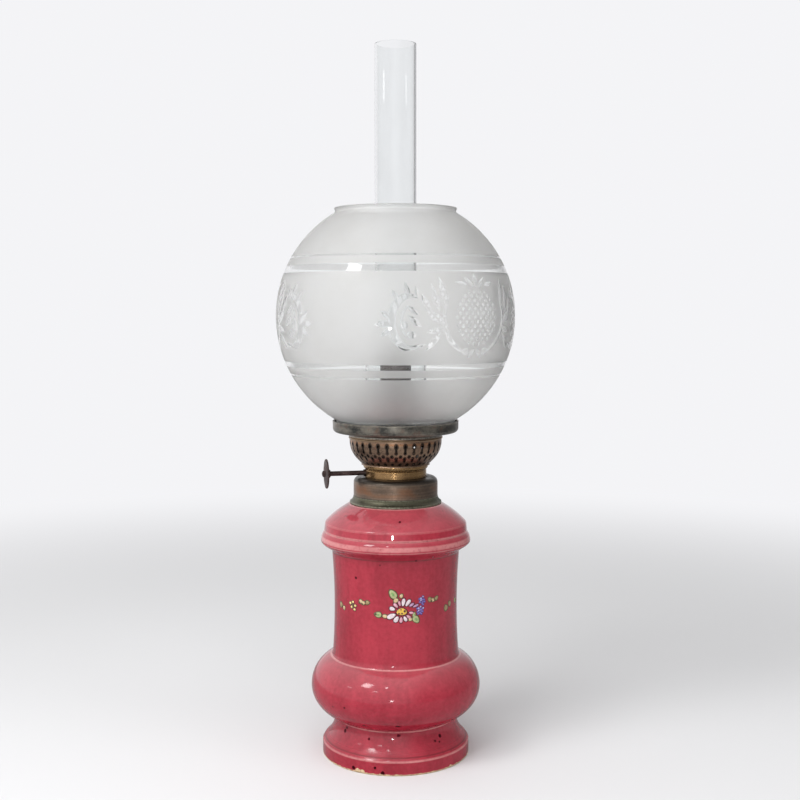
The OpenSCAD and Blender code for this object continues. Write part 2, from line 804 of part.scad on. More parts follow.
// Keyhole with a pointed head, a slot and a round lower end, drawn around its slot's middle
module keyhole_shape(sizes) {
    head_w = sizes[0];
    head_h = sizes[1];
    slot_w = sizes[2];
    slot_h = sizes[3];
    end_r = sizes[4];
    head_z = slot_h / 2 + head_h / 2 - 0.3;
    side = asin(slot_w / 2 / end_r);
    polygon(concat(
        [[slot_w / 2, head_z - 0.45 * head_h], [head_w / 2, head_z - 0.1 * head_h],
         [0, head_z + head_h / 2],
         [-head_w / 2, head_z - 0.1 * head_h], [-slot_w / 2, head_z - 0.45 * head_h]],
        arc(0, -slot_h / 2 - end_r * cos(side), end_r, end_r, 90 + side, 450 - side, mid_curve)
    ));
}

// Repeats a cutter around the basket, pointing outwards at the given height
module around(count, z, turn = 0) {
    for (i = [0:count - 1])
        rotate([0, 0, (i + turn) * 360 / count])
            translate([basket_foot_r - 8, 0, z])
                rotate([90, 0, 90])
                    linear_extrude(height = basket_r + 12 - basket_foot_r)
                        children();
}

module basket() {
    color("#6b4a30")
        difference() {
            rotate_extrude()
                polygon(concat(
                    [[plate_r - 1, basket_z], [basket_foot_r + 0.4, basket_z]],
                    basket_side(0),
                    basket_rim(),
                    reversed(basket_side(sheet_t)),
                    [[plate_r - 1, basket_z + sheet_t]]
                ));
            around(basket_holes, keyhole_z)
                keyhole_shape(keyhole);
            around(basket_holes, diamond_z, 0.5)
                circle(r = diamond_r, $fn = 4);
            around(basket_holes, small_keyhole_z)
                keyhole_shape(small_keyhole);
            around(basket_holes, dot_z, 0.5)
                circle(r = dot_r, $fn = 24);
        }
}

// Perforated plate inside the basket's rim
module gallery_plate() {
    plate_out_r = basket_r - sheet_t - seat_gap;
    hole_at_r = (plate_out_r + prong_out_r) / 2;
    hole_r = min((plate_out_r - prong_out_r) / 2 - gallery_rim, gallery_hole_r);
    color("#7d5a36")
        difference() {
            translate([0, 0, basket_top_z - gallery_t])
                tube(plate_out_r, prong_out_r + seat_gap, gallery_t);
            for (i = [0:gallery_holes - 1])
                rotate([0, 0, i * 360 / gallery_holes])
                    translate([hole_at_r, 0, basket_top_z - gallery_t - past])
                        cylinder(h = gallery_t + 2 * past, r = hole_r, $fn = 32);
        }
}

module chimney_prongs() {
    flared_r = prong_out_r + prong_flare;
    flare_z = prong_top_z - prong_flare_h;
    color("#8a7038")
        difference() {
            rotate_extrude()
                polygon([
                    [prong_in_r - ledge_w, ledge_z - ledge_t], [prong_out_r, ledge_z - ledge_t],
                    [prong_out_r, flare_z], [flared_r, prong_top_z],
                    [flared_r - prong_t, prong_top_z], [prong_in_r, flare_z + 0.2],
                    [prong_in_r, ledge_z], [prong_in_r - ledge_w, ledge_z]
                ]);
            for (i = [0:prongs - 1])
                rotate([0, 0, i * 360 / prongs])
                    translate([0, -prong_slot_w / 2, prong_slot_z])
                        cube([flared_r + past, prong_slot_w, prong_h]);
        }
}

// Loose ring that carries the ball shade and rests on the basket's rim
module shade_ring() {
    wall_in_r = shade_ring_r - shade_ring_t;
    under_z = ring_floor_z - shade_ring_t;
    corner_r = shade_ring_r - ring_corner;
    corner_z = under_z + ring_corner;
    inner_corner_r = ring_corner - shade_ring_t;
    neck_z = basket_top_z + ring_neck_h;
    color("#3e4440")
        rotate_extrude()
            polygon(concat(
                [[ring_hole_r, basket_top_z], [ring_seat_r, basket_top_z],
                 [ring_seat_r, neck_z - 2 * ring_rim], [ring_seat_r + ring_rim, neck_z - ring_rim],
                 [ring_seat_r + ring_rim + 1, neck_z]],
                arc(corner_r, corner_z, ring_corner, ring_corner, -90, 0, mid_curve),
                [[shade_ring_r, ring_lip_z - 2 * ring_rim], [shade_ring_r + 0.3, ring_lip_z - ring_rim],
                 [shade_ring_r, ring_lip_z], [wall_in_r, ring_lip_z]],
                reversed(arc(corner_r, corner_z, inner_corner_r, inner_corner_r, -90, 0, short_curve)),
                [[ring_seat_r, ring_floor_z],
                 [ring_seat_r - shade_ring_t, under_z], [ring_seat_r - shade_ring_t, basket_top_z + ledge_t],
                 [ring_hole_r, basket_top_z + ledge_t]]
            ));
}

// Glass

// Outline of the ball shade, moved inwards by the given amount
function globe_side(inset) =
    let (neck_at = acos(globe_neck_r / globe_r), top_at = acos(globe_top_r / globe_r), corner = 0.5,
         skin_r = globe_r - inset, foot_in = globe_edge * (1 - 2 * inset / globe_t))
    concat(
        [[globe_neck_r - inset - foot_in, globe_low_z], [globe_neck_r - inset, globe_low_z + globe_edge],
         [globe_neck_r - inset, globe_neck_z - corner]],
        arc(0, globe_mid_z, skin_r, skin_r, corner - neck_at, top_at - corner, globe_curve),
        [[globe_top_r - inset + 0.1, globe_top_z + 1],
         [globe_top_r - inset + globe_flare, globe_top_z + globe_rim_h]]
    );

module globe() {
    color([0.88, 0.88, 0.86, 0.7])
        rotate_extrude()
            polygon(concat(globe_side(0), reversed(globe_side(globe_t))));
}

// Outline of the chimney, moved inwards by the given amount
function chimney_side(inset) = concat(
    [[chimney_foot_r - inset, chimney_z]],
    ogee(chimney_foot_r - inset, chimney_shoulder_z, chimney_neck_r - inset, chimney_neck_z, long_curve),
    ogee(chimney_neck_r - inset, chimney_neck_z + 1, chimney_r - inset, chimney_tube_z, mid_curve),
    [[chimney_r - inset, chimney_top_z]]
);

module chimney() {
    color([0.9, 0.95, 0.97, 0.35])
        rotate_extrude()
            polygon(concat(chimney_side(0), reversed(chimney_side(chimney_t))));
}

porcelain_body();
plaster_bed();
collar_ring();
oil_font();
font_cap();
font_socket();
burner_washer();
burner_plug();
wick_housing();
housing_cover();
wick_tube();
draught_tube();
rack_guide();
spindle_bearing();
spindle_gland();
gland_packing();
spindle();
wick_pinion();
wick_knob();
knob_nut();
wick();
wick_carrier();
wick_rack();
basket();
gallery_plate();
chimney_prongs();
shade_ring();
globe();
chimney();
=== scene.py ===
import json
import math
import random
from functools import reduce

import bmesh
import bpy
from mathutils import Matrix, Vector, noise


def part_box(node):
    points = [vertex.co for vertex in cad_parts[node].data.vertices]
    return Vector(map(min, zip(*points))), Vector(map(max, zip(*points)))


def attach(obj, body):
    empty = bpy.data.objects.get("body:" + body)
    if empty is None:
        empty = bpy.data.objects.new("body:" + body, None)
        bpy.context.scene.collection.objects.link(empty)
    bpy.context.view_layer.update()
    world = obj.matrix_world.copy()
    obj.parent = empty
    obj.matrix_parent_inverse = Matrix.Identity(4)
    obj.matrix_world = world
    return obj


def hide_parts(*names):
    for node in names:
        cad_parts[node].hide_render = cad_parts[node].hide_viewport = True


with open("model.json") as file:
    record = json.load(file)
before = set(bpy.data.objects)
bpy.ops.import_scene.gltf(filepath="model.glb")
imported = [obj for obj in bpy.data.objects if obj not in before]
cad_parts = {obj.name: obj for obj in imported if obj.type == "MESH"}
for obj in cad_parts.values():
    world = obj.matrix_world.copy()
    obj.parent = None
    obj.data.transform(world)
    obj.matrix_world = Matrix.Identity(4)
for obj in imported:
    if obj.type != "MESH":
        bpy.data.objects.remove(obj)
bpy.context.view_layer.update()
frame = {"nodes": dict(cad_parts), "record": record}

MM = 0.001
BODY_OF = {n: b for b, nodes in frame["record"]["behaviour"]["bodies"].items() for n in nodes}
pick = random.Random(14)


def put(name, data):
    """A new object, put in the scene."""
    made = bpy.data.objects.new(name, data)
    bpy.context.scene.collection.objects.link(made)
    return made


def finished_mesh(name, form, smooth=True):
    """The mesh of a form, which is freed."""
    for face in form.faces:
        face.smooth = smooth
    mesh = bpy.data.meshes.new(name)
    form.to_mesh(mesh)
    form.free()
    return mesh


# Camera, placed as the photograph was taken

IMAGE_SIZE = 800
FOCAL_PIXELS = 1215
LAMP_AXIS_PIXEL = 395.6
CAMERA_TURN = math.radians(-12)
CAMERA_AWAY = 1.008
CAMERA_HEIGHT = 0.3742
CAMERA_PITCH = math.radians(4.35)
SENSOR = 36
VIEW_END = 30


def round_lamp(turn, away, height):
    """Point at an angle round the lamp's axis: 0 is in front, along -Y, and the angle grows towards +X."""
    return Vector((math.sin(turn) * away, -math.cos(turn) * away, height))


def facing(degrees):
    """Angle round the lamp, given in degrees to the right of the side that the camera sees."""
    return CAMERA_TURN + math.radians(degrees)


def make_camera():
    data = bpy.data.cameras.new("photo_camera")
    data.sensor_width = SENSOR
    data.lens = FOCAL_PIXELS / IMAGE_SIZE * SENSOR
    data.clip_end = VIEW_END
    camera = put("photo_camera", data)
    camera.location = round_lamp(CAMERA_TURN, CAMERA_AWAY, CAMERA_HEIGHT)
    aside = math.atan((IMAGE_SIZE / 2 - LAMP_AXIS_PIXEL) / FOCAL_PIXELS)
    camera.rotation_euler = (math.pi / 2 - CAMERA_PITCH, 0, CAMERA_TURN - aside)
    bpy.context.scene.camera = camera


# Shader nodes


def add(tree, kind, inputs=None, **settings):
    """A new node with its settings made and its inputs linked or filled in."""
    made = tree.nodes.new(kind)
    for name, value in settings.items():
        setattr(made, name, value)
    for name, value in (inputs or {}).items():
        if isinstance(value, bpy.types.NodeSocket):
            tree.links.new(value, made.inputs[name])
        else:
            made.inputs[name].default_value = value
    return made


def calc(tree, operation, *values, clamp=False):
    inputs = dict(enumerate(values))
    return add(tree, "ShaderNodeMath", inputs, operation=operation, use_clamp=clamp).outputs[0]


def plus(tree, first, second, clamp=False):
    return calc(tree, "ADD", first, second, clamp=clamp)


def minus(tree, first, second):
    return calc(tree, "SUBTRACT", first, second)


def times(tree, first, second):
    return calc(tree, "MULTIPLY", first, second)


def largest(tree, values):
    return reduce(lambda a, b: calc(tree, "MAXIMUM", a, b), values)


def smallest(tree, values):
    return reduce(lambda a, b: calc(tree, "MINIMUM", a, b), values)


def weighted(tree, *parts):
    """Sum of values, each times its weight."""
    return reduce(lambda a, b: plus(tree, a, b), [times(tree, *part) for part in parts])


def vector(tree, operation, *values, out=0):
    """Result of a vector node: output 0 is a vector, and output 1 a length, distance or dot product."""
    inputs = dict(enumerate(values))
    return add(tree, "ShaderNodeVectorMath", inputs, operation=operation).outputs[out]


def mixed(tree, share, first, second):
    """Colour between first and second, which are the node's inputs 6 and 7."""
    first, second = ((*c, 1) if isinstance(c, tuple) else c for c in (first, second))
    return add(tree, "ShaderNodeMix", {0: share, 6: first, 7: second}, data_type="RGBA").outputs[2]


def step(tree, value, low, high, to_low=0.0, to_high=1.0):
    """Soft step of a value from low to high."""
    inputs = {"Value": value, "From Min": low, "From Max": high, "To Min": to_low, "To Max": to_high}
    return add(tree, "ShaderNodeMapRange", inputs, interpolation_type="SMOOTHSTEP").outputs[0]


def place(tree, stretch=(1, 1, 1)):
    """Position on the lamp in metres, with each axis stretched."""
    where = add(tree, "ShaderNodeTexCoord").outputs["Object"]
    return where if stretch == (1, 1, 1) else vector(tree, "MULTIPLY", where, stretch)


def split(tree, value):
    return add(tree, "ShaderNodeSeparateXYZ", {0: value}).outputs


def looking_up(tree):
    """1 on faces that look straight up, 0 on upright ones and -1 on those that look down."""
    return split(tree, add(tree, "ShaderNodeNewGeometry").outputs["Normal"])[2]


def off_level(tree, level, height):
    """Distance above or below a height."""
    return calc(tree, "ABSOLUTE", minus(tree, level, height))


def clouds(tree, where, scale, detail=3.0, rough=0.55, twist=0.0):
    inputs = {"Vector": where, "Scale": scale, "Detail": detail, "Roughness": rough, "Distortion": twist}
    return add(tree, "ShaderNodeTexNoise", inputs).outputs["Fac"]


def attribute(tree, name):
    return add(tree, "ShaderNodeAttribute", attribute_name=name).outputs["Fac"]


def bumped(tree, height, strength, distance):
    inputs = {"Height": height, "Strength": strength, "Distance": distance}
    return add(tree, "ShaderNodeBump", inputs).outputs[0]


def new_material(name, sockets):
    """A material and its shader, with the shader's own plain values set."""
    material = bpy.data.materials.new(name)
    material.use_nodes = True
    shader = material.node_tree.nodes["Principled BSDF"]
    for socket, value in sockets.items():
        shader.inputs[socket].default_value = value
    return material, material.node_tree, shader


def wire(tree, shader, sockets):
    """Links a shader's sockets to what the tree works out."""
    for name, value in sockets.items():
        tree.links.new(value, shader.inputs[name])


# Studio

BACKGROUND = (0.905, 0.905, 0.925)
NIGHT = (0.02, 0.02, 0.02)
WORLD_LIGHT = 0.6
RIGHT_DARKNESS = 0.7
RIGHT_DIMMER = 0.4
FLOOR_COLOUR = (0.73, 0.73, 0.74)
FLOOR_MIRRORED = (0.38, 0.38, 0.39)
FLOOR_THROUGH_GLASS = (0.93, 0.93, 0.93)
FLOOR_RADIUS = 4.0
FLOOR_SIDES = 96
FLOOR_FADE = (0.55, 1.5)
AIM_HEIGHT = 0.25
# Lamps: name, degrees to the right of the camera and above the horizon, distance, width and height in
# metres, power in watts, and whether glaze, metal and glass show it
LAMPS = (
    ("window_left", -49, 41, 1.7, 0.34, 0.42, 3.6, True),
    ("window_far", -29, 26, 1.9, 0.2, 0.12, 0.35, True),
    ("window_low", -69, 20.7, 1.61, 0.2, 0.06, 0.15, True),
    ("lamp_high", -15, 42, 1.7, 0.07, 0.2, 0.35, True),
    ("lamp_front", -5, -4, 1.1, 0.05, 0.05, 0.4, True),
    ("fill_left", -44, 36, 1.8, 1.2, 1.0, 21, False),
    ("fill_top", -5, 60, 1.8, 1.0, 1.0, 9, False),
    ("fill_right", 60, 22, 1.8, 0.8, 1.1, 5.4, False),
)


def seen_directly(tree):
    """1 for rays from the camera, a mirror or through glass, and 0 for light that falls on surfaces."""
    path = add(tree, "ShaderNodeLightPath").outputs
    return largest(tree, [path["Is Camera Ray"], path["Is Glossy Ray"], path["Is Transmission Ray"]])


def on_the_right(tree, direction):
    """1 for directions to the right of the camera's view of the lamp, and 0 for the others."""
    sideways = (math.cos(CAMERA_TURN), math.sin(CAMERA_TURN), 0)
    return step(tree, vector(tree, "DOT_PRODUCT", direction, sideways, out=1), 0.1, 0.7)


def mirrored_backdrop(tree, right):
    """The backdrop's colour, which mirrors show dark on the right."""
    mirrors = add(tree, "ShaderNodeLightPath").outputs["Is Glossy Ray"]
    return mixed(tree, times(tree, times(tree, right, RIGHT_DARKNESS), mirrors), BACKGROUND, NIGHT)


def make_world():
    """Pale studio, dimmer on its right side."""
    world = bpy.data.worlds.new("studio")
    bpy.context.scene.world = world
    world.use_nodes = True
    tree = world.node_tree
    tree.nodes.clear()
    right = on_the_right(tree, add(tree, "ShaderNodeTexCoord").outputs["Generated"])
    strength = times(tree, minus(tree, 1.0, times(tree, right, RIGHT_DIMMER)), WORLD_LIGHT)
    light = add(tree, "ShaderNodeBackground", {"Color": (1, 1, 1, 1), "Strength": strength})
    shown = add(tree, "ShaderNodeBackground", {"Color": mirrored_backdrop(tree, right), "Strength": 1.0})
    parts = {0: seen_directly(tree), 1: light.outputs[0], 2: shown.outputs[0]}
    mix = add(tree, "ShaderNodeMixShader", parts)
    add(tree, "ShaderNodeOutputWorld", {"Surface": mix.outputs[0]})


def floor_material():
    """Pale and matt, fading into the backdrop."""
    material = bpy.data.materials.new("studio_floor")
    material.use_nodes = True
    tree = material.node_tree
    tree.nodes.clear()
    path = add(tree, "ShaderNodeLightPath").outputs
    colour = mixed(tree, path["Is Glossy Ray"], FLOOR_COLOUR, FLOOR_MIRRORED)
    colour = mixed(tree, path["Is Transmission Ray"], colour, FLOOR_THROUGH_GLASS)
    matt = add(tree, "ShaderNodeBsdfDiffuse", {"Color": colour})
    right = on_the_right(tree, vector(tree, "NORMALIZE", place(tree)))
    shown = add(tree, "ShaderNodeEmission", {"Color": mirrored_backdrop(tree, right), "Strength": 1.0})
    away = vector(tree, "LENGTH", place(tree), out=1)
    far = times(tree, step(tree, away, *FLOOR_FADE), seen_directly(tree))
    mix = add(tree, "ShaderNodeMixShader", {0: far, 1: matt.outputs[0], 2: shown.outputs[0]})
    add(tree, "ShaderNodeOutputMaterial", {"Surface": mix.outputs[0]})
    return material


def make_floor():
    form = bmesh.new()
    bmesh.ops.create_circle(form, cap_ends=True, segments=FLOOR_SIDES, radius=FLOOR_RADIUS)
    mesh = finished_mesh("studio_floor", form, smooth=False)
    mesh.materials.append(floor_material())
    floor = put("studio_floor", mesh)


def make_lights():
    """Small lamps that the glaze mirrors, and broad fills that neither mirrors nor glass show."""
    for name, turn, rise, away, width, height, power, mirrored in LAMPS:
        data = bpy.data.lights.new(name, "AREA")
        data.shape = "RECTANGLE"
        data.size = width
        data.size_y = height
        data.energy = power
        lamp = put(name, data)
        up = math.radians(rise)
        lamp.location = round_lamp(facing(turn), away * math.cos(up), away * math.sin(up) + AIM_HEIGHT)
        lamp.rotation_mode = "QUATERNION"
        lamp.rotation_quaternion = (Vector((0, 0, AIM_HEIGHT)) - lamp.location).to_track_quat("-Z", "Y")
        lamp.visible_camera = False
        lamp.visible_glossy = mirrored
        lamp.visible_transmission = mirrored


# Turned pieces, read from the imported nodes

SEAM = 3e-6
CORNER = math.radians(24)
CORNER_SHARE = 0.45
ARC_POINTS = 5
TIGHT = 2.2 * MM
RIDGE = 1 * MM
INWARD_BEND = math.radians(20)
SMOOTH_BELOW = math.radians(34)
MERGED_BELOW = 2e-6
NO_LENGTH = 1e-6
outlines = {}


def pairs(items, closed):
    """Each item with the next one, and in a closed loop the last with the first."""
    return zip(items, items[1:] + (items[:1] if closed else []))


def outline_of(node):
    """Section of a turned node as (radius, height) points in order, and whether it is a closed loop."""
    if node in outlines:
        return outlines[node]
    mesh = frame["nodes"][node].data
    section = {v.index: (round(v.co.x, 6), round(v.co.z, 6)) for v in mesh.vertices
               if abs(v.co.y) < SEAM and v.co.x > -SEAM}
    links = {point: set() for point in section.values()}
    for edge in mesh.edges:
        a, b = (section.get(i) for i in edge.vertices)
        if a and b and a != b:
            links[a].add(b)
            links[b].add(a)
    ends = sorted(point for point, near in links.items() if len(near) == 1)
    walk = [ends[0] if ends else min(links)]
    while True:
        onward = [p for p in links[walk[-1]] if p not in walk]
        if not onward:
            break
        walk.append(min(onward))
    if ends:
        walk = [(0.0, walk[0][1])] + walk + [(0.0, walk[-1][1])]
    outlines[node] = (walk, not ends)
    return outlines[node]


def outer_radius(node, height):
    """Radius of a turned node's outside at a height."""
    points, closed = outline_of(node)
    found = [0.0]
    for a, b in pairs(points, closed):
        low, high = sorted((a[1], b[1]))
        if low <= height <= high:
            share = (height - a[1]) / (b[1] - a[1]) if high > low else 0.0
            found.append(a[0] + (b[0] - a[0]) * share)
    return max(found)


def turn_between(a, b, c):
    """Angle by which a line turns at b, positive to the left."""
    first = math.atan2(b[1] - a[1], b[0] - a[0])
    second = math.atan2(c[1] - b[1], c[0] - b[0])
    return (second - first + math.pi) % (2 * math.pi) - math.pi


def outward_turn(points):
    """1 or -1, the sign of a turn to the outside in a walk along the points."""
    return 1 if sum(a[0] * b[1] - b[0] * a[1] for a, b in pairs(points, True)) > 0 else -1


def inward_bend_above(node, height):
    """Height of the first sharp inward bend in a turned node's outside above a given height."""
    points = outline_of(node)[0]
    outward = outward_turn(points)
    found = []
    for before, here, after in zip(points, points[1:], points[2:]):
        outside = here[0] > outer_radius(node, here[1]) - RIDGE
        bends_in = turn_between(before, here, after) * outward < -INWARD_BEND
        if here[1] > height and outside and bends_in:
            found.append(here[1])
    return min(found)


def between(a, b, share):
    return (a[0] + (b[0] - a[0]) * share, a[1] + (b[1] - a[1]) * share)


def softened(points, closed, radius, reach):
    """Rows (radius, height, wear), with sharp corners made small arcs.
    Wear goes up to 1 where the outline bends outwards tightly, and down to -1 where it bends inwards."""
    outward = outward_turn(points)
    count = len(points)
    rows = []
    for i, here in enumerate(points):
        if not closed and i in (0, count - 1):
            rows.append((*here, 0.0))
            continue
        before, after = points[i - 1], points[(i + 1) % count]
        turn = turn_between(before, here, after)
        back, ahead = math.dist(here, before), math.dist(here, after)
        if abs(turn) < CORNER:
            bend = turn * outward / max(back, ahead)
            rows.append((*here, max(-1.0, min(1.0, bend * TIGHT))))
            continue
        cut = min(radius * math.tan(abs(turn) / 2), CORNER_SHARE * back, CORNER_SHARE * ahead)
        start, end = between(here, before, cut / back), between(here, after, cut / ahead)
        wear = 1.0 if turn * outward > 0 or min(back, ahead) < RIDGE else -1.0
        if reach < CORNER_SHARE * back:
            rows.append((*between(here, before, reach / back), 0.0))
        for k in range(ARC_POINTS):
            t = k / (ARC_POINTS - 1)
            rows.append((*between(between(start, here, t), between(here, end, t), t), wear))
        if reach < CORNER_SHARE * ahead:
            rows.append((*between(here, after, reach / ahead), 0.0))
    return rows


def split_long(rows, closed, longest):
    """Rows with extra ones in long stretches, so that no stretch is longer than the given length."""
    made = []
    for a, b in pairs(rows, closed):
        parts = max(1, math.ceil(math.dist(a[:2], b[:2]) / longest))
        made += [tuple(p + (q - p) * k / parts for p, q in zip(a, b)) for k in range(parts)]
    return made if closed else made + [rows[-1]]


def turned_mesh(name, rows, closed, segments, shift=None):
    """Mesh of revolution from rows (radius, height, wear), with the wear kept as an attribute."""
    form = bmesh.new()
    wear_layer = form.verts.layers.float.new("wear")
    rings = []
    for radius, height, wear in rows:
        ring = []
        for k in range(1 if radius < SEAM else segments):
            turn = 2 * math.pi * k / segments
            point = Vector((radius * math.cos(turn), radius * math.sin(turn), height))
            if shift:
                point += shift(point, radius)
            vertex = form.verts.new(point)
            vertex[wear_layer] = wear
            ring.append(vertex)
        rings.append(ring)
    for a, b in pairs(rings, closed):
        for k in range(segments):
            corners = [a[k % len(a)], a[(k + 1) % len(a)], b[(k + 1) % len(b)], b[k % len(b)]]
            corners = list(dict.fromkeys(corners))
            if len(corners) > 2:
                form.faces.new(corners)
    bmesh.ops.recalc_face_normals(form, faces=form.faces)
    return finished_mesh(name, form)


def stand_for(node, mesh, material):
    """Puts a new piece in a node's place, on the node's body."""
    mesh.materials.clear()
    mesh.materials.append(material)
    piece = put(node + "_piece", mesh)
    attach(piece, BODY_OF[node])
    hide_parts(node)
    return piece


def turned_piece(node, material, radius=0.25 * MM, reach=0.9 * MM, longest=4 * MM, segments=192,
                 shift=None):
    """A turned node made anew, with corners of the given radius that wear for the given reach."""
    points, closed = outline_of(node)
    rows = split_long(softened(points, closed, radius, reach), closed, longest)
    return stand_for(node, turned_mesh(node + "_piece", rows, closed, segments, shift), material)


def mark(piece, name, test):
    """Keeps a number with each point of a piece, worked out from the point's radius and height."""
    flags = piece.data.attributes.new(name, "FLOAT", "POINT")
    for vertex, flag in zip(piece.data.vertices, flags.data):
        flag.value = test(math.hypot(vertex.co.x, vertex.co.y), vertex.co.z)


def smoothed_piece(node, material):
    """The node's own form with its curved faces shaded smooth and its sharp edges kept."""
    form = bmesh.new()
    form.from_mesh(frame["nodes"][node].data)
    bmesh.ops.remove_doubles(form, verts=form.verts, dist=MERGED_BELOW)
    bmesh.ops.dissolve_degenerate(form, dist=NO_LENGTH, edges=form.edges)
    for line in form.edges:
        line.smooth = len(line.link_faces) == 2 and line.calc_face_angle(0) < SMOOTH_BELOW
    return stand_for(node, finished_mesh(node + "_piece", form), material)


# Porcelain

STAND = "porcelain_body"
GLAZE_DEEP = (0.245, 0.010, 0.023)
GLAZE_LIGHT = (0.395, 0.025, 0.046)
# Pale colour for thin glaze on edges, and for a painted highlight on the bead
GLAZE_THIN_AND_HIGHLIGHT = (0.60, 0.25, 0.245)
# Dark red for pooled glaze, and for painted shade in inward bends
GLAZE_POOLED_AND_SHADED = (0.15, 0.005, 0.012)
BISCUIT = (0.66, 0.50, 0.30)
BISCUIT_DIRTY = (0.30, 0.19, 0.10)
# Near black for dirt and painted shade in the grooves
GROOVE_DIRT_AND_SHADE = (0.07, 0.03, 0.025)
PIT = (0.085, 0.006, 0.013)
# Pale film on faces that look up: dust, and a painted sheen as if lit from above
DUST_AND_SHEEN = (0.78, 0.60, 0.60)
DUST_AND_SHEEN_SHARE = 0.06
STREAK_SHARE, PATCH_SHARE, SPECK_SHARE = 0.36, 0.34, 0.3
RAGGED = 1.6 * MM
BELOW_WAIST = 100 * MM
ABOVE_WAIST = 150 * MM
# Height of the bead's painted highlight above the bead's widest point
HIGHLIGHT_ABOVE_BEAD = 2.4 * MM
FOOT_GROOVE = 14.1 * MM
BARE_BELOW = 1.4 * MM
WALL = 2.5 * MM
UNDERSIDE = 0.3 * MM
STRAY_PITS = 0.26
HAND_THROWN = 0.12 * MM
THROWN_EVENLY = 10 * MM
# Pinholes in the glaze: degrees from the camera's side, height and radius in mm
PITS = (
    (3.9, 203.9, 0.9), (59.5, 208, 0.5), (17.7, 172.7, 0.8), (32.5, 174.8, 0.8), (-13.6, 169.3, 0.5),
    (-37.9, 156.8, 0.9), (-35.6, 54.9, 0.7), (-46.2, 52.8, 0.5), (0.9, 42.2, 1.0), (2.4, 42.0, 0.8),
    (-23.9, 40.4, 1.1), (-22.0, 40.0, 0.8), (-53.7, 26.6, 1.4), (-51.6, 29.6, 0.9), (-24.6, 25.7, 1.0),
    (2.1, 29.7, 1.0), (3.6, 29.6, 0.8), (43.8, 24.9, 1.4), (37, 22.4, 0.8), (41.3, 21.2, 0.7),
    (-33.6, 3.5, 1.4), (-15.6, 6.3, 1.0), (-9.7, 2.4, 1.5),
)
# Chips in the foot's lower edge, in the same measures
CHIPS = ((-29.5, 1.6, 2.5), (-26.0, 1.2, 2.3), (46.5, 1.2, 1.3), (171, 1.0, 2.6))
# Deeper runs in the shoulder's glaze, in the same measures
RUNS = (
    (-56.7, 204.7, 1.3), (-53.5, 204.9, 0.9), (-51.1, 206.8, 0.5), (-47.5, 208.4, 0.4),
    (-44.3, 210.1, 0.4),
)


def beyond_spots(tree, where, spots):
    """Distance beyond the rim of the nearest of some round spots on the porcelain, below 0 inside one."""
    found = []
    for degrees, height, radius in spots:
        height *= MM
        centre = round_lamp(facing(degrees), outer_radius(STAND, height), height)
        found.append(minus(tree, vector(tree, "DISTANCE", where, tuple(centre), out=1), radius * MM))
    return smallest(tree, found)


def pooled_and_shaded_glaze(tree, where, level, bend, ragged):
    """Share of deep colour: pooled glaze and painted shade in inward bends, deeper glaze in the shoulder's
    runs and the groove above the foot's rim.
    """
    # Inward bends: pooled glaze and painted shade
    shaded_bends = step(tree, times(tree, bend, -1.0), 0.05, 1.0, to_high=0.4)
    run = plus(tree, beyond_spots(tree, where, RUNS), ragged)
    runs = step(tree, run, 0.6 * MM, -0.6 * MM, to_high=0.6)
    groove = step(tree, off_level(tree, level, FOOT_GROOVE), 0.7 * MM, 0.2 * MM, to_high=0.75)
    return largest(tree, [shaded_bends, runs, groove])


def thin_glaze_and_highlight(tree, level, bend, patches, specks):
    """Share of pale colour: thin glaze on tight edges and the crease above the bulge, and a painted
    highlight on the bead.
    """
    outline = outline_of(STAND)[0]
    bulge = max((p for p in outline if p[1] < BELOW_WAIST), key=lambda point: point[0])[1]
    bead = max((p for p in outline if p[1] > ABOVE_WAIST), key=lambda point: point[0])[1]
    crease = inward_bend_above(STAND, bulge)
    edges = step(tree, bend, 0.4, 1.0, to_high=0.9)
    creased = step(tree, off_level(tree, level, crease), 0.7 * MM, 0.2 * MM, to_high=0.85)
    # A painted highlight in a band just above the bead's widest point
    bead_highlight = step(tree, off_level(tree, level, bead + HIGHLIGHT_ABOVE_BEAD), 2.6 * MM, 1.0 * MM, to_high=0.85)
    pale_share = largest(tree, [edges, creased, bead_highlight])
    pale_share = times(tree, pale_share, step(tree, specks, 0.26, 0.5, 0.45, 0.85))
    return times(tree, pale_share, step(tree, patches, 0.36, 0.6, 0.7, 1.0))


def pitted_glaze(tree, where, ragged):
    """1 in a pinhole. The back has stray ones in some cells of a grid."""
    cells = add(tree, "ShaderNodeTexVoronoi", {"Vector": where, "Scale": 48.0, "Randomness": 1.0})
    drawn = add(tree, "ShaderNodeSeparateColor", {0: cells.outputs["Color"]}).outputs[0]
    behind = step(tree, split(tree, where)[1], -10 * MM, 10 * MM)
    chance = times(tree, calc(tree, "GREATER_THAN", drawn, 1 - STRAY_PITS), behind)
    stray = times(tree, step(tree, cells.outputs["Distance"], 0.045, 0.028), chance)
    pit = plus(tree, beyond_spots(tree, where, PITS), times(tree, ragged, 0.8))
    return largest(tree, [step(tree, pit, 0.25 * MM, -0.05 * MM), stray])


def bare_clay(tree, where, level, ragged):
    """1 where there is no glaze: on the lower edge, its chips and the inside."""
    height = plus(tree, level, times(tree, ragged, 1.8))
    chip = plus(tree, beyond_spots(tree, where, CHIPS), times(tree, ragged, 1.6))
    low_edge = step(tree, height, BARE_BELOW + 0.2 * MM, BARE_BELOW - 0.2 * MM)
    return largest(tree, [low_edge, step(tree, chip, 0.2 * MM, -0.2 * MM), attribute(tree, "bare")])


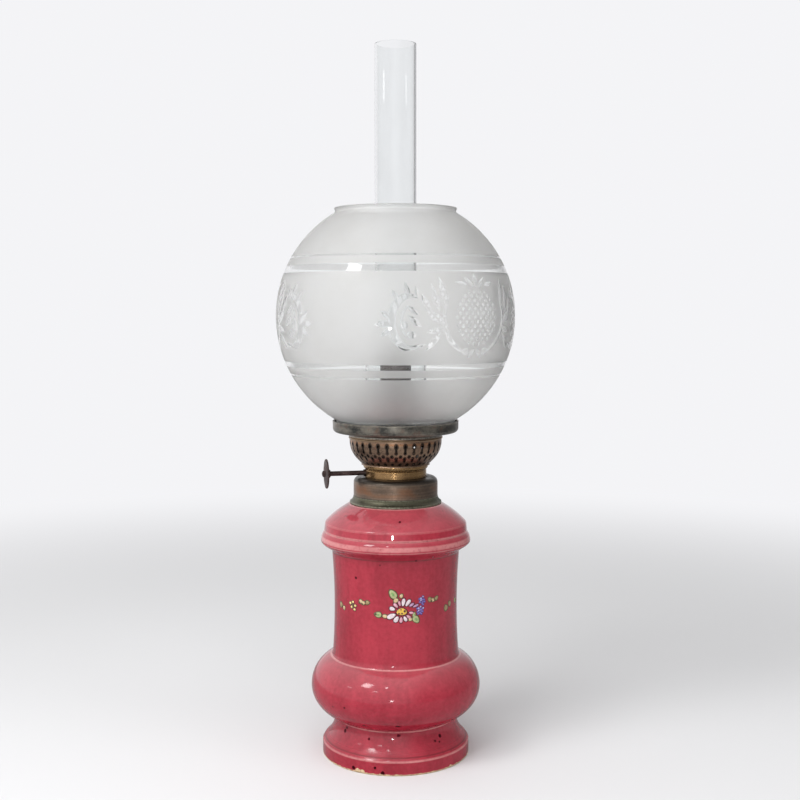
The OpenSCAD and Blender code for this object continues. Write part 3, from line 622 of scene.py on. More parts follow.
def porcelain_material():
    """Rose glaze with upright streaks, thin and deep places, dust and pits, and bare clay under it.
    Painted light in it: shade in inward bends and grooves, a highlight on the bead and a sheen on faces
    that look up.
    Pits are shaded as dark metal, so that they don't mirror the studio as the glaze does."""
    material, tree, shader = new_material("porcelain_glaze", {"IOR": 1.6})
    where = place(tree)
    level = split(tree, where)[2]
    upward = looking_up(tree)
    bend = attribute(tree, "wear")
    streaks = clouds(tree, place(tree, (1, 1, 0.12)), 75, 5, 0.65, 0.4)
    patches = clouds(tree, place(tree, (1, 1, 0.7)), 26, 4, 0.6, 0.3)
    specks = clouds(tree, where, 330, 3, 0.6)
    ragged = times(tree, minus(tree, specks, 0.5), RAGGED)

    tone = weighted(tree, (streaks, STREAK_SHARE), (patches, PATCH_SHARE), (specks, SPECK_SHARE))
    colour = mixed(tree, step(tree, tone, 0.33, 0.66), GLAZE_DEEP, GLAZE_LIGHT)
    # Darker in inward bends (pooled glaze and painted shade), in the runs and in the foot's groove
    colour = mixed(tree, pooled_and_shaded_glaze(tree, where, level, bend, ragged), colour, GLAZE_POOLED_AND_SHADED)
    # Paler: thin glaze on edges and the crease, and a painted highlight on the bead
    colour = mixed(tree, thin_glaze_and_highlight(tree, level, bend, patches, specks), colour, GLAZE_THIN_AND_HIGHLIGHT)
    # Faces that look up, above the foot, are paler: dust and a painted sheen from above
    sheen_above_foot = step(tree, level, 30 * MM, 55 * MM, to_high=DUST_AND_SHEEN_SHARE)
    colour = mixed(tree, times(tree, step(tree, upward, 0.1, 0.9), sheen_above_foot), colour, DUST_AND_SHEEN)
    # Grooves in inward bends get dirt and painted shade, unevenly
    shaded_grooves = step(tree, bend, -0.5, -1.0, to_high=0.75)
    grimy_and_shaded = times(tree, shaded_grooves, step(tree, patches, 0.35, 0.6, 0.25, 1.0))
    colour = mixed(tree, grimy_and_shaded, colour, GROOVE_DIRT_AND_SHADE)
    pit = pitted_glaze(tree, where, ragged)
    colour = mixed(tree, pit, colour, PIT)
    bare = bare_clay(tree, where, level, ragged)
    grime = step(tree, clouds(tree, where, 420, 4, 0.7), 0.35, 0.75)
    colour = mixed(tree, bare, colour, mixed(tree, grime, BISCUIT, BISCUIT_DIRTY))
    hole = times(tree, pit, minus(tree, 1.0, bare))

    opened = largest(tree, [bare, times(tree, pit, 0.4)])
    smudges = step(tree, clouds(tree, where, 55, 4, 0.6), 0.3, 0.75, 0.05, 0.13)
    low_down = step(tree, level, 40 * MM, 25 * MM, to_high=0.34)
    dull_foot = times(tree, step(tree, upward, 0.5, 0.7), low_down)
    rough = largest(tree, [smudges, times(tree, opened, 0.75), dull_foot])
    ripple = minus(tree, times(tree, clouds(tree, where, 120, 2), 0.8), times(tree, opened, 0.5))
    relief = bumped(tree, ripple, 0.22, 0.3 * MM)
    wire(tree, shader, {"Base Color": colour, "Metallic": hole, "Roughness": rough, "Normal": relief})
    return material


def throwing_marks(point, radius):
    """Small uneven shift of a hand-finished surface, always inwards."""
    if radius < THROWN_EVENLY:
        return Vector((0, 0, 0))
    share = 0.5 + 0.5 * noise.noise(Vector((point.x * 22, point.y * 22, point.z * 40)))
    inward = Vector((-point.x, -point.y, 0)) / radius
    return inward * HAND_THROWN * share


def unglazed(radius, height):
    """1 on the porcelain's inside and underside, and 0 on its outside."""
    outside = radius > outer_radius(STAND, height) - WALL and height > UNDERSIDE
    return 0.0 if outside else 1.0


def make_porcelain():
    piece = turned_piece(STAND, porcelain_material(), radius=0.7 * MM, reach=1.5 * MM,
                         longest=2.5 * MM, segments=256, shift=throwing_marks)
    mark(piece, "bare", unglazed)


# Raised enamel flowers on the column

ENAMELS = {
    "white": (0.74, 0.66, 0.69), "pink": (0.66, 0.36, 0.43), "lilac": (0.46, 0.28, 0.44),
    "yellow": (0.74, 0.50, 0.08), "straw": (0.78, 0.60, 0.24), "green": (0.17, 0.36, 0.12),
    "pale_green": (0.40, 0.46, 0.22), "cream": (0.62, 0.48, 0.27), "olive": (0.34, 0.27, 0.13),
    "rim": (0.085, 0.020, 0.034), "leaf_rim": (0.085, 0.075, 0.038), "night": (0.075, 0.045, 0.17),
    "blue": (0.20, 0.17, 0.50), "mist": (0.52, 0.46, 0.68),
}
# Colours whose rim isn't the usual one
RIM_OF = {"pale_green": "leaf_rim", "olive": "leaf_rim", "cream": "leaf_rim", "blue": "night",
          "mist": "night"}
# The flower's middle, in degrees from the camera's side and mm up, and its heart's width and length in mm
FLOWER = (5.4, 131.5)
FLOWER_HEART = (9.2, 6.4)
# Petals round the heart: direction in degrees from upright, distance, length and width in mm, and colour
PETALS = (
    (10, 7.7, 7.2, 3.2, "white"), (36, 8.6, 7.2, 3.1, "white"), (57, 9.6, 5.0, 2.3, "lilac"),
    (70, 12.2, 5.8, 2.0, "lilac"), (-15, 6.9, 5.0, 2.1, "pink"), (-43, 7.0, 5.2, 2.9, "pink"),
    (-73, 7.9, 5.2, 3.4, "white"), (-114, 9.1, 8.4, 4.3, "white"), (-145, 7.6, 6.2, 3.9, "white"),
    (-176, 6.8, 5.4, 2.8, "pink"), (154, 6.6, 5.2, 2.9, "white"), (128, 7.2, 4.6, 2.6, "pink"),
    (99, 7.9, 4.2, 2.2, "pink"),
)
# Dark marks on the heart: across, up and size in mm
HEART_MARKS = ((2.3, 0.3, 2.6), (0.2, -1.4, 2.0), (-2.2, -1.4, 1.9), (-0.6, 1.6, 1.6))
# Leaves and dabs: degrees from the camera's side, height, length, width, tilt from upright, and colour
LEAVES = (
    (-2.5, 145.7, 8.8, 5.8, -35, "pale_green"), (0.2, 140.7, 3.8, 4.4, -30, "cream"),
    (5.1, 144.3, 3.6, 2.8, 30, "cream"), (-16.1, 128.6, 6.4, 4.6, -85, "pale_green"),
    (-9.9, 127.6, 4.2, 3.2, -80, "cream"), (18.6, 124.6, 7.4, 5.4, 140, "pale_green"),
    (16.8, 128.6, 4.2, 2.6, 15, "pale_green"), (13.2, 124.8, 3.2, 2.6, -120, "cream"),
    (-33.0, 138.0, 3.8, 3.2, -50, "cream"), (-30.2, 137.0, 3.6, 3.0, 60, "cream"),
    (-26.2, 137.6, 4.4, 3.4, 80, "olive"), (-60.4, 131.2, 4.6, 4.6, -30, "olive"),
    (-55.0, 129.4, 3.6, 3.4, 40, "cream"), (32.4, 139.6, 4.2, 3.8, -40, "olive"),
    (35.6, 138.8, 3.2, 3.0, 0, "cream"), (39.8, 139.9, 4.2, 3.2, 50, "olive"),
    (53.0, 129.8, 5.4, 5.2, -30, "olive"), (59.4, 132.2, 4.4, 5.0, 50, "olive"),
    (-42.3, 136.3, 2.3, 2.6, 0, "straw"), (-45.6, 135.1, 2.3, 2.8, 0, "straw"),
    (-39.5, 133.6, 2.2, 2.8, 0, "straw"), (-44.0, 132.0, 2.3, 2.8, 0, "straw"),
    (-40.4, 130.4, 2.2, 2.6, 0, "straw"), (72, 132.6, 4.6, 3.6, -20, "pale_green"),
    (77, 131.2, 3.4, 2.8, 60, "olive"),
)
# Small dark marks beside the leaves: degrees, height and size in mm
MARKS = (
    (-34.6, 137.0, 2.4), (-31.6, 136.2, 2.4), (-28.2, 138.1, 2.0), (-17.8, 128.9, 2.6),
    (-42.7, 134.2, 2.8), (-42.2, 131.8, 2.4), (34.0, 138.6, 1.9), (37.8, 138.2, 1.9),
)
# Clusters of dots: centre, half width and half height, number of dots, size in mm, and colours in turn
CLUSTERS = (
    (24.6, 139.6, 2.7, 3.6, 11, 1.5, ("blue", "blue", "mist")),
    (22.6, 131.8, 3.1, 3.5, 13, 1.5, ("blue", "blue", "mist")),
)
DOT_TURN = 2.4
DOT_JITTER = 0.3
DAB_SHARES = (0.0, 0.5, 0.82, 1.0)
DAB_SIDES = 14
DAB_TAPER = 0.22
DAB_CLEAR = 0.02 * MM
DAB_SINK = 0.1 * MM
DAB_LIFT = 0.24 * MM
RIM_LIFT = 0.06 * MM
RIM_WIDTH = 1.1
VEIN_LIFT = 0.36 * MM
VEIN_LENGTH, VEIN_WIDTH = 0.6, 0.5
THIN_ENAMEL = (0.72, 0.66, 0.68)
THIN_ENAMEL_RED = 0.03


def degrees_across(height):
    """Degrees round the lamp for one mm across the porcelain, at a height in mm."""
    return 180 / math.pi / (outer_radius(STAND, height * MM) / MM)


def enamel_dab(form, degrees, height, length, width, tilt, lift=DAB_LIFT):
    """Adds a domed oval of enamel, its tip at the upper end before the clockwise tilt. Sizes are in mm."""
    lean = math.radians(tilt)
    base_radius = outer_radius(STAND, height * MM)
    rings = []
    for share in DAB_SHARES:
        ring = []
        for k in range(1 if share == 0 else DAB_SIDES):
            way = 2 * math.pi * k / DAB_SIDES
            across = width / 2 * share * math.sin(way) * (1 - DAB_TAPER * math.cos(way))
            along = length / 2 * share * math.cos(way)
            aside = (across * math.cos(lean) + along * math.sin(lean)) * MM
            up = height * MM + (along * math.cos(lean) - across * math.sin(lean)) * MM
            raised = lift * (1 - share ** 2) - (DAB_SINK if share == 1 else 0) + DAB_CLEAR
            radius = outer_radius(STAND, up) + raised
            ring.append(form.verts.new(round_lamp(facing(degrees) + aside / base_radius, radius, up)))
        rings.append(ring)
    for a, b in zip(rings, rings[1:]):
        for k in range(DAB_SIDES):
            corners = [a[k % len(a)], b[k], b[(k + 1) % DAB_SIDES], a[(k + 1) % len(a)]]
            form.faces.new(list(dict.fromkeys(corners)))
    form.faces.new(reversed(rings[-1]))


def enamel_material(colour):
    """Glossy enamel, thinner and darker between its brush strokes."""
    full = ENAMELS[colour]
    material, tree, shader = new_material("enamel_" + colour, {"IOR": 1.55, "Roughness": 0.16})
    brush = clouds(tree, place(tree), 700, 4, 0.6)
    red, green, blue = (part * share for part, share in zip(full, THIN_ENAMEL))
    shown = mixed(tree, step(tree, brush, 0.3, 0.65), (red + THIN_ENAMEL_RED, green, blue), full)
    wire(tree, shader, {"Base Color": shown, "Normal": bumped(tree, brush, 0.3, 0.08 * MM)})
    return material


def petals_and_leaves():
    """Every dab of the garland, as (degrees, height, length, width, tilt, colour)."""
    turn, height = FLOWER
    degree = degrees_across(height)
    dabs = []
    for way, away, length, width, colour in PETALS:
        up = math.radians(way)
        aside = math.sin(up) * away * degree
        dabs.append((turn + aside, height + math.cos(up) * away, length, width, way + 180, colour))
    dabs.append((turn, height, FLOWER_HEART[1], FLOWER_HEART[0], 0, "yellow"))
    dabs += LEAVES
    for around, level, half_width, half_height, count, dot, colours in CLUSTERS:
        for k in range(count):
            way = DOT_TURN * k + pick.uniform(-DOT_JITTER, DOT_JITTER)
            share = math.sqrt((k + 0.5) / count)
            aside = math.sin(way) * share * half_width * degree
            up = math.cos(way) * share * half_height
            dabs.append((around + aside, level + up, dot, dot, 0, colours[k % len(colours)]))
    return dabs


def make_enamel():
    """The garland's enamels, one piece for each colour, on thin dark rims."""
    forms = {colour: bmesh.new() for colour in ENAMELS}
    for degrees, level, length, width, tilt, colour in petals_and_leaves():
        rim = forms[RIM_OF.get(colour, "rim")]
        enamel_dab(rim, degrees, level, length + RIM_WIDTH, width + RIM_WIDTH, tilt, RIM_LIFT)
        enamel_dab(forms[colour], degrees, level, length, width, tilt)
        if colour == "pale_green":
            vein = (length * VEIN_LENGTH, width * VEIN_WIDTH)
            enamel_dab(forms["green"], degrees, level, *vein, tilt, VEIN_LIFT)
    turn, height = FLOWER
    for across, up, size in HEART_MARKS:
        aside = across * degrees_across(height)
        enamel_dab(forms["rim"], turn + aside, height + up, size, size, 0, VEIN_LIFT)
    for degrees, level, size in MARKS:
        enamel_dab(forms["leaf_rim"], degrees, level, size, size, 0, VEIN_LIFT)
    for colour, form in forms.items():
        mesh = finished_mesh("enamel_" + colour, form)
        mesh.materials.append(enamel_material(colour))
        piece = put("enamel_" + colour, mesh)
        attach(piece, BODY_OF["porcelain_body"])


# Metals

# The basket's holes as ovals: height above its foot, and radii, in mm
BASKET_HOLES = 32
HOLES_IN_LINE = (
    (18.4, (1.5, 2.0)), (15.4, (0.6, 2.4)), (12.9, (1.0, 1.0)), (8.1, (1.1, 1.2)), (6.3, (0.8, 0.8)),
)
HOLES_BETWEEN = ((9.9, (1.0, 1.1)), (2.8, (0.9, 0.9)))
DARK_RING_WIDTH = 0.8
DARK_RING_FULL = 0.3
DARK_RING_SHARE = 0.85
SOOT = (0.035, 0.03, 0.026)
COPPER = (0.26, 0.105, 0.045)
# Brighter brass of the basket's bead and rim, partly a painted highlight
BEAD_RED_HIGHLIGHT = (0.42, 0.20, 0.10)
RIM_BRASS_HIGHLIGHT = (0.42, 0.30, 0.18)
FINE_SHARE = 0.2
STAIN_SHARE = 0.75
WORN_SHARE = 0.75
BAND_FADE = 0.35
STAIN_LEVEL, STAIN_RANGE = 0.70, 0.30


def dark_round_holes(tree, where):
    """1 close round the basket's holes, which are measured across from a hole and up from the foot."""
    axes = split(tree, where)
    turn = calc(tree, "DIVIDE", calc(tree, "ARCTAN2", axes[1], axes[0]), 2 * math.pi / BASKET_HOLES)
    reach = vector(tree, "LENGTH", vector(tree, "MULTIPLY", where, (1, 1, 0)), out=1)
    pitch = times(tree, reach, 2 * math.pi / BASKET_HOLES / MM)
    up = times(tree, minus(tree, axes[2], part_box("basket")[0].z), 1 / MM)
    off = calc(tree, "PINGPONG", turn, 0.5)
    depths = []
    for share, ovals in ((off, HOLES_IN_LINE), (minus(tree, 0.5, off), HOLES_BETWEEN)):
        spot = add(tree, "ShaderNodeCombineXYZ", {0: times(tree, share, pitch), 1: up}).outputs[0]
        depths += [oval_depth(tree, spot, (0, height), radii) for height, radii in ovals]
    return step(tree, largest(tree, depths), -DARK_RING_WIDTH, -DARK_RING_FULL * DARK_RING_WIDTH)


def band_share(tree, level, patches, low, high):
    """Share of a band's colour between two heights, uneven as the patches are."""
    soft = BAND_FADE * (high - low)
    rise = step(tree, level, low - soft, low + soft)
    fall = step(tree, level, high + soft, high - soft)
    return times(tree, times(tree, rise, fall), step(tree, patches, 0.4, 0.6, 0.1, 0.75))


def metal_material(name, dark, light, stain, stained, rough=0.32, scale=30, bright=None, brushed=0.3,
                   bands=(), soot=0.0, pierced=False):
    """Aged brass: a soft change from dark to light metal, turning lines, and stains over a share of it.
    Each band is its lowest and highest point and a colour, and soot darkens faces that look up.
    Worn edges show the bright colour. A pierced metal is darker round its holes."""
    material, tree, shader = new_material(name, {"IOR": 1.45})
    where = place(tree)
    patches = clouds(tree, place(tree, (1, 1, 1.8)), scale, 5, 0.6, 0.5)
    lines = clouds(tree, place(tree, (0.12, 0.12, 9)), 90, 4, 0.7)
    fine = clouds(tree, where, 620, 4, 0.6)
    tone = weighted(tree, (patches, 1 - FINE_SHARE - brushed), (lines, brushed), (fine, FINE_SHARE))
    colour = mixed(tree, step(tree, tone, 0.36, 0.64), dark, light)
    spread = clouds(tree, place(tree, (1, 1, 1.5)), scale * 1.9, 6, 0.66, 0.6)
    limit = STAIN_LEVEL - STAIN_RANGE * stained
    stains = step(tree, spread, limit - 0.08, limit + 0.1)
    colour = mixed(tree, times(tree, stains, STAIN_SHARE), colour, stain)
    for low, high, shade in bands:
        colour = mixed(tree, band_share(tree, split(tree, where)[2], patches, low, high), colour, shade)
    if soot:
        colour = mixed(tree, step(tree, looking_up(tree), 0.08, 0.7, to_high=soot), colour, SOOT)
    if pierced:
        # Darker round the holes, in soot's colour
        colour = mixed(tree, times(tree, dark_round_holes(tree, where), DARK_RING_SHARE), colour, SOOT)
    if bright:
        worn = times(tree, step(tree, attribute(tree, "wear"), 0.35, 1.0), step(tree, fine, 0.3, 0.6))
        colour = mixed(tree, times(tree, worn, WORN_SHARE), colour, bright)
    metallic = step(tree, stains, 0.0, 1.0, 0.9, 0.55)
    gloss = step(tree, stains, 0.0, 1.0, rough, rough + 0.2)
    gloss = plus(tree, gloss, times(tree, minus(tree, fine, 0.5), 0.3), clamp=True)
    skin = bumped(tree, weighted(tree, (lines, brushed), (fine, 0.6)), 0.2, 0.12 * MM)
    wire(tree, shader, {"Base Color": colour, "Metallic": metallic, "Roughness": gloss, "Normal": skin})
    return material


def make_metals():
    cap_low, cap_high = (corner.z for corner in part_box("font_cap"))
    basket_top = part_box("basket")[1].z
    # Bright lines at the basket's top: the brass's own colour and a painted highlight
    basket_highlight_bands = ((basket_top - 5.0 * MM, basket_top - 3.4 * MM, BEAD_RED_HIGHLIGHT),
                    (basket_top - 2.0 * MM, basket_top - 0.6 * MM, RIM_BRASS_HIGHLIGHT))
    collar = metal_material(
        "collar_verdigris", dark=(0.085, 0.085, 0.055), light=(0.20, 0.19, 0.13),
        stain=(0.09, 0.12, 0.08), stained=0.3, rough=0.4, bright=(0.36, 0.36, 0.27), soot=0.3)
    cap = metal_material(
        "cap_patina", dark=(0.11, 0.09, 0.072), light=(0.29, 0.22, 0.165), stain=(0.15, 0.13, 0.10),
        stained=0.3, rough=0.36, scale=24, bright=(0.13, 0.12, 0.10),
        bands=((cap_low + 2 * MM, cap_high - 5 * MM, COPPER),), soot=0.85)
    font = metal_material(
        "font_metal", dark=(0.22, 0.19, 0.13), light=(0.42, 0.35, 0.22), stain=(0.14, 0.11, 0.08),
        stained=0.3)
    brass = metal_material(
        "burner_brass", dark=(0.24, 0.14, 0.065), light=(0.51, 0.32, 0.14), stain=(0.12, 0.065, 0.040),
        stained=0.2, rough=0.27, scale=26, bright=(0.7, 0.50, 0.26), brushed=0.5)
    dark = metal_material(
        "dark_brass", dark=(0.055, 0.042, 0.038), light=(0.14, 0.105, 0.09),
        stain=(0.035, 0.03, 0.028), stained=0.3, rough=0.33)
    knob = metal_material(
        "knob_patina", dark=(0.040, 0.028, 0.028), light=(0.115, 0.075, 0.072),
        stain=(0.09, 0.06, 0.055), stained=0.75, rough=0.42, scale=70, brushed=0.15)
    basket = metal_material(
        "basket_brass", dark=(0.15, 0.10, 0.072), light=(0.38, 0.255, 0.17), stain=(0.30, 0.13, 0.07),
        stained=0.15, rough=0.32, scale=40, bands=basket_highlight_bands, pierced=True)
    ring = metal_material(
        "shade_ring_metal", dark=(0.036, 0.038, 0.036), light=(0.23, 0.21, 0.175),
        stain=(0.16, 0.080, 0.052), stained=0.35, rough=0.34, scale=52, bright=(0.34, 0.32, 0.27),
        brushed=0.14, soot=0.4)
    turned_piece("collar_ring", collar)
    turned_piece("font_cap", cap)
    turned_piece("oil_font", font)
    turned_piece("font_socket", brass, segments=128)
    turned_piece("shade_ring", ring)
    for material, nodes in (
        (brass, ("burner_plug", "wick_housing", "housing_cover", "rack_guide", "spindle_bearing",
                 "wick_pinion", "wick_carrier", "wick_rack", "chimney_prongs")),
        (dark, ("wick_tube", "draught_tube", "spindle_gland")),
        (knob, ("spindle", "wick_knob", "knob_nut")),
        (basket, ("basket", "gallery_plate")),
    ):
        for node in nodes:
            smoothed_piece(node, material)


# Plaster, leather, packing and wick

PLASTER, PLASTER_DARK = (0.70, 0.66, 0.56), (0.50, 0.45, 0.36)
LEATHER, LEATHER_DARK = (0.16, 0.09, 0.05), (0.07, 0.04, 0.025)
PACKING, PACKING_DARK = (0.06, 0.05, 0.04), (0.02, 0.018, 0.016)
COTTON_DARK = (0.50, 0.44, 0.33)
COTTON_LIGHT = (0.80, 0.75, 0.63)
BURNT = (0.05, 0.04, 0.035)
BURNT_DEPTH = (6 * MM, 1 * MM)
WICK_RIBS = 72
WICK_ROW = 1.1 * MM


def plain_material(name, first, second, scale, rough):
    """Matt material with a grain of two colours."""
    material, tree, shader = new_material(name, {"Roughness": rough})
    grain = clouds(tree, place(tree), scale, 6, 0.65)
    colour = mixed(tree, step(tree, grain, 0.3, 0.7), first, second)
    wire(tree, shader, {"Base Color": colour, "Normal": bumped(tree, grain, 0.3, 0.3 * MM)})
    return material


def wick_material():
    """Woven cotton: upright ribs crossed by fine rows, darker at the burnt mouth."""
    material, tree, shader = new_material("wick_cotton", {"Roughness": 0.95, "Sheen Weight": 0.3})
    axes = split(tree, place(tree))
    ribs = calc(tree, "SINE", times(tree, calc(tree, "ARCTAN2", axes[1], axes[0]), float(WICK_RIBS)))
    rows = calc(tree, "SINE", times(tree, axes[2], 2 * math.pi / WICK_ROW))
    weave = times(tree, ribs, rows)
    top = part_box("wick")[1].z
    burnt = step(tree, axes[2], top - BURNT_DEPTH[0], top - BURNT_DEPTH[1])
    cotton = mixed(tree, step(tree, weave, -1.0, 1.0), COTTON_DARK, COTTON_LIGHT)
    colour = mixed(tree, burnt, cotton, BURNT)
    wire(tree, shader, {"Base Color": colour, "Normal": bumped(tree, weave, 0.6, 0.3 * MM)})
    return material


def make_soft_parts():
    plaster = plain_material("plaster", PLASTER, PLASTER_DARK, scale=300, rough=0.9)
    leather = plain_material("washer_leather", LEATHER, LEATHER_DARK, scale=500, rough=0.8)
    packing = plain_material("packing", PACKING, PACKING_DARK, scale=900, rough=0.95)
    turned_piece("plaster_bed", plaster, segments=128)
    turned_piece("burner_washer", leather, radius=0.12 * MM, reach=0.3 * MM, segments=128)
    smoothed_piece("gland_packing", packing)
    smoothed_piece("wick", wick_material())


# Etched ornament on the globe, in mm: across from a cartouche's middle, and up from the ball's middle

CARTOUCHES = (40, 155, 270)
LATTICE_OVAL = (21, 22)
LATTICE_PITCH = (5.8, 6.6)
LATTICE_DOT = 0.27
# Crescents: centre, radii, start and sweep in degrees, and width
CRESCENTS = (
    ((5, 0), (26, 27), -86, 124, 4.6),
    ((58, -3), (14, 19.5), -122, 242, 7.6),
    ((57, -3), (7.5, 12), -80, 170, 3.0),
)
# Pointed leaves: foot, tip and width
ETCHED_LEAVES = (
    ((28, 6), (34, 31), 6.0), ((35, 4), (41, 26), 5.4), ((41, 2), (49, 18), 5.0),
    ((31, -4), (46, 5), 7.0), ((30, -8), (45, -11), 5.0), ((33, -11), (45, -25), 4.8),
    ((52, 14), (53, 24), 3.6), ((58, 15), (62, 27), 4.0), ((65, 12), (72, 21), 3.6),
    ((70, -4), (85, -5), 5.8), ((70, -2), (80, 5), 4.6), ((70, -7), (80, -14), 4.6),
    ((49, -7), (60, 2), 4.4), ((51, 2), (60, 9), 3.4), ((45, -20), (64, -25), 2.8),
    ((0, 23), (0, 34), 4.2), ((2, 23), (11, 31), 3.6), ((9, 25), (20, 27), 3.2),
    ((1, -24), (7, -31), 3.4),
)
# Round dabs: centre and radii
ETCHED_DABS = (
    ((10, -26), (3.4, 2.8)), ((57, -13), (3.8, 2.8)), ((62, -6), (2.4, 3.4)), ((46, 11), (2.8, 2.6)),
)


def etched_leaf(tree, spot, foot, tip, width):
    """Above 0 inside a pointed leaf, in mm from its edge."""
    length = math.dist(foot, tip)
    along = ((tip[0] - foot[0]) / length, (tip[1] - foot[1]) / length, 0)
    across = (-along[1], along[0], 0)
    start = foot[0] * along[0] + foot[1] * along[1]
    middle = foot[0] * across[0] + foot[1] * across[1]
    run = minus(tree, vector(tree, "DOT_PRODUCT", spot, along, out=1), start)
    off = minus(tree, vector(tree, "DOT_PRODUCT", spot, across, out=1), middle)
    belly = times(tree, run, minus(tree, length, run))
    half = times(tree, belly, 2 * width / length ** 2)
    return minus(tree, half, calc(tree, "ABSOLUTE", off))


def in_oval(tree, spot, centre, radii):
    """Position measured from an oval's centre, 1 long at its rim."""
    scale = (1 / radii[0], 1 / radii[1], 0)
    shift = (-centre[0] / radii[0], -centre[1] / radii[1], 0)
    return vector(tree, "MULTIPLY_ADD", spot, scale, shift)


def oval_depth(tree, spot, centre, radii):
    """Above 0 inside an oval, in mm from its edge."""
    reach = vector(tree, "LENGTH", in_oval(tree, spot, centre, radii), out=1)
    return times(tree, minus(tree, 1.0, reach), min(radii))


def etched_crescent(tree, spot, centre, radii, start, sweep, width):
    """Above 0 inside a bow that is widest in its middle, in mm from its edge."""
    inside = in_oval(tree, spot, centre, radii)
    axes = split(tree, inside)
    reach = minus(tree, vector(tree, "LENGTH", inside, out=1), 1.0)
    off = times(tree, calc(tree, "ABSOLUTE", reach), sum(radii) / 2)
    way = minus(tree, calc(tree, "ARCTAN2", axes[1], axes[0]), math.radians(start))
    run = calc(tree, "DIVIDE", calc(tree, "WRAP", way, 2 * math.pi, 0.0), math.radians(sweep))
    half = times(tree, times(tree, run, minus(tree, 1.0, run)), 2 * width)
    return minus(tree, half, off)


def lattice(tree, spot):
    """Above 0 inside the small diamonds that fill an oval in staggered rows, in mm from their edge."""
    axes = split(tree, vector(tree, "DIVIDE", spot, (*LATTICE_PITCH, 1)))
    ways = (plus(tree, axes[0], axes[1]), minus(tree, axes[0], axes[1]))
    near = smallest(tree, [calc(tree, "PINGPONG", way, 0.5) for way in ways])
    diamond = times(tree, minus(tree, near, 0.5 - LATTICE_DOT), LATTICE_PITCH[0])
    return smallest(tree, [diamond, oval_depth(tree, spot, (0, 0), LATTICE_OVAL)])


def etched_ornament(tree, where, middle):
    """Above 0 inside the ornament, in mm. A cartouche's halves are alike, so one is drawn."""
    axes = split(tree, where)
    turn = calc(tree, "ARCTAN2", axes[0], times(tree, axes[1], -1.0))
    offs = [calc(tree, "WRAP", minus(tree, turn, facing(degrees)), math.pi, -math.pi)
            for degrees in CARTOUCHES]
    aside = smallest(tree, [calc(tree, "ABSOLUTE", off) for off in offs])
    across = times(tree, aside, outer_radius("globe", middle) / MM)
    up = times(tree, minus(tree, axes[2], middle), 1 / MM)
    spot = add(tree, "ShaderNodeCombineXYZ", {0: across, 1: up}).outputs[0]
    depths = [lattice(tree, spot)]
    depths += [etched_crescent(tree, spot, *crescent) for crescent in CRESCENTS]
    depths += [etched_leaf(tree, spot, *leaf) for leaf in ETCHED_LEAVES]
    depths += [oval_depth(tree, spot, *dab) for dab in ETCHED_DABS]
    return largest(tree, depths)


# Glass

FROST = (0.94, 0.938, 0.925)
FROST_DUSTY = (0.885, 0.88, 0.86)
FROST_ROUGHNESS = 0.62
FROST_TRANSMISSION = 0.82
CLEAR = (0.99, 0.995, 0.99)
CLEAR_ROUGHNESS = 0.03
ETCHED_CLEAR = (0.985, 0.985, 0.98)
ETCHED_SHARE = 0.95
ETCH_EDGE = 0.22
ETCH_BEVEL = 1.3
ETCH_DEPTH = 0.1 * MM
# Clear bands: lowest and highest point above the ball's middle, in mm
CLEAR_BANDS = ((-47.6, -46.0), (-40.1, -35.9), (35.2, 41.4), (47.2, 48.8))
BAND_EDGE = 0.25 * MM
GLOBE_SKIN = 1.2 * MM
CHIMNEY_TINT = (0.965, 0.975, 0.975)
CHIMNEY_FILM = (0.93, 0.94, 0.94)
FILM_ROUGHNESS = 0.045


def clear_band(tree, height, low, high):
    """1 between two heights."""
    rise = step(tree, height, low - BAND_EDGE, low + BAND_EDGE)
    return times(tree, rise, step(tree, height, high + BAND_EDGE, high - BAND_EDGE))


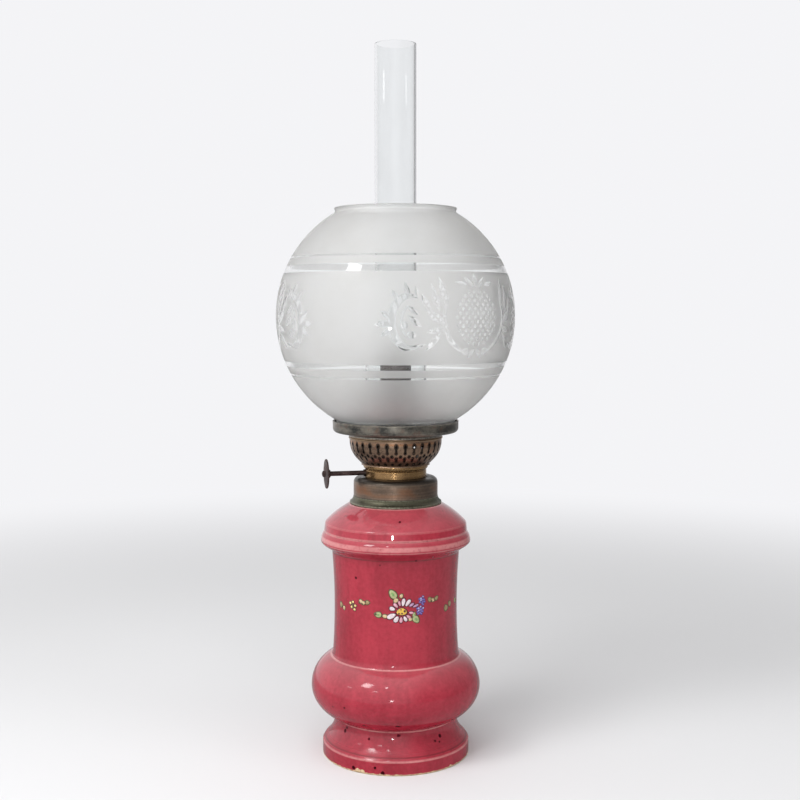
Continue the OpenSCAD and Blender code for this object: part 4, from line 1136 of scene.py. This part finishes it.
def frosted_material(middle):
    """Etched glass with clear bands at given heights from the ball's middle, and clear ornament."""
    material, tree, shader = new_material("frosted_glass", {"IOR": 1.5})
    where = place(tree)
    height = minus(tree, split(tree, where)[2], middle)
    bands = [clear_band(tree, height, low * MM, high * MM) for low, high in CLEAR_BANDS]
    depth = etched_ornament(tree, where, middle)
    ornament = times(tree, step(tree, depth, -ETCH_EDGE, ETCH_EDGE), ETCHED_SHARE)
    clear = largest(tree, bands + [ornament, attribute(tree, "inside")])
    dust = step(tree, clouds(tree, where, 26, 4, 0.6), 0.3, 0.7)
    frost = mixed(tree, dust, FROST, FROST_DUSTY)
    polished = mixed(tree, ornament, CLEAR, ETCHED_CLEAR)
    cut = minus(tree, 1.0, step(tree, depth, 0.0, ETCH_BEVEL))
    cut = times(tree, cut, minus(tree, 1.0, attribute(tree, "inside")))
    wire(tree, shader, {
        "Base Color": mixed(tree, clear, frost, polished),
        "Roughness": step(tree, clear, 0.0, 1.0, FROST_ROUGHNESS, CLEAR_ROUGHNESS),
        "Transmission Weight": step(tree, clear, 0.0, 1.0, FROST_TRANSMISSION, 1.0),
        "Normal": bumped(tree, cut, 1.0, ETCH_DEPTH),
    })
    return material


def chimney_material():
    """Clear glass with a faint film."""
    material, tree, shader = new_material("clear_glass", {"IOR": 1.47, "Transmission Weight": 1.0})
    film = clouds(tree, place(tree, (1, 1, 0.3)), 40, 4, 0.6)
    tint = mixed(tree, step(tree, film, 0.35, 0.75), CHIMNEY_TINT, CHIMNEY_FILM)
    rough = step(tree, film, 0.3, 0.8, to_high=FILM_ROUGHNESS)
    wire(tree, shader, {"Base Color": tint, "Roughness": rough})
    return material


def inside_globe(radius, height):
    """1 on the ball's inside, and 0 on its outside."""
    return 1.0 if radius < outer_radius("globe", height) - GLOBE_SKIN else 0.0


def make_glass():
    middle = max(outline_of("globe")[0], key=lambda point: point[0])[1]
    globe = turned_piece("globe", frosted_material(middle), radius=0.5 * MM, reach=1.2 * MM)
    mark(globe, "inside", inside_globe)
    turned_piece("chimney", chimney_material(), radius=0.7 * MM, reach=1.5 * MM, longest=6 * MM)


# The scene

bpy.context.scene.view_settings.view_transform = "Standard"
make_camera()
make_world()
make_floor()
make_lights()
make_porcelain()
make_enamel()
make_metals()
make_soft_parts()
make_glass()
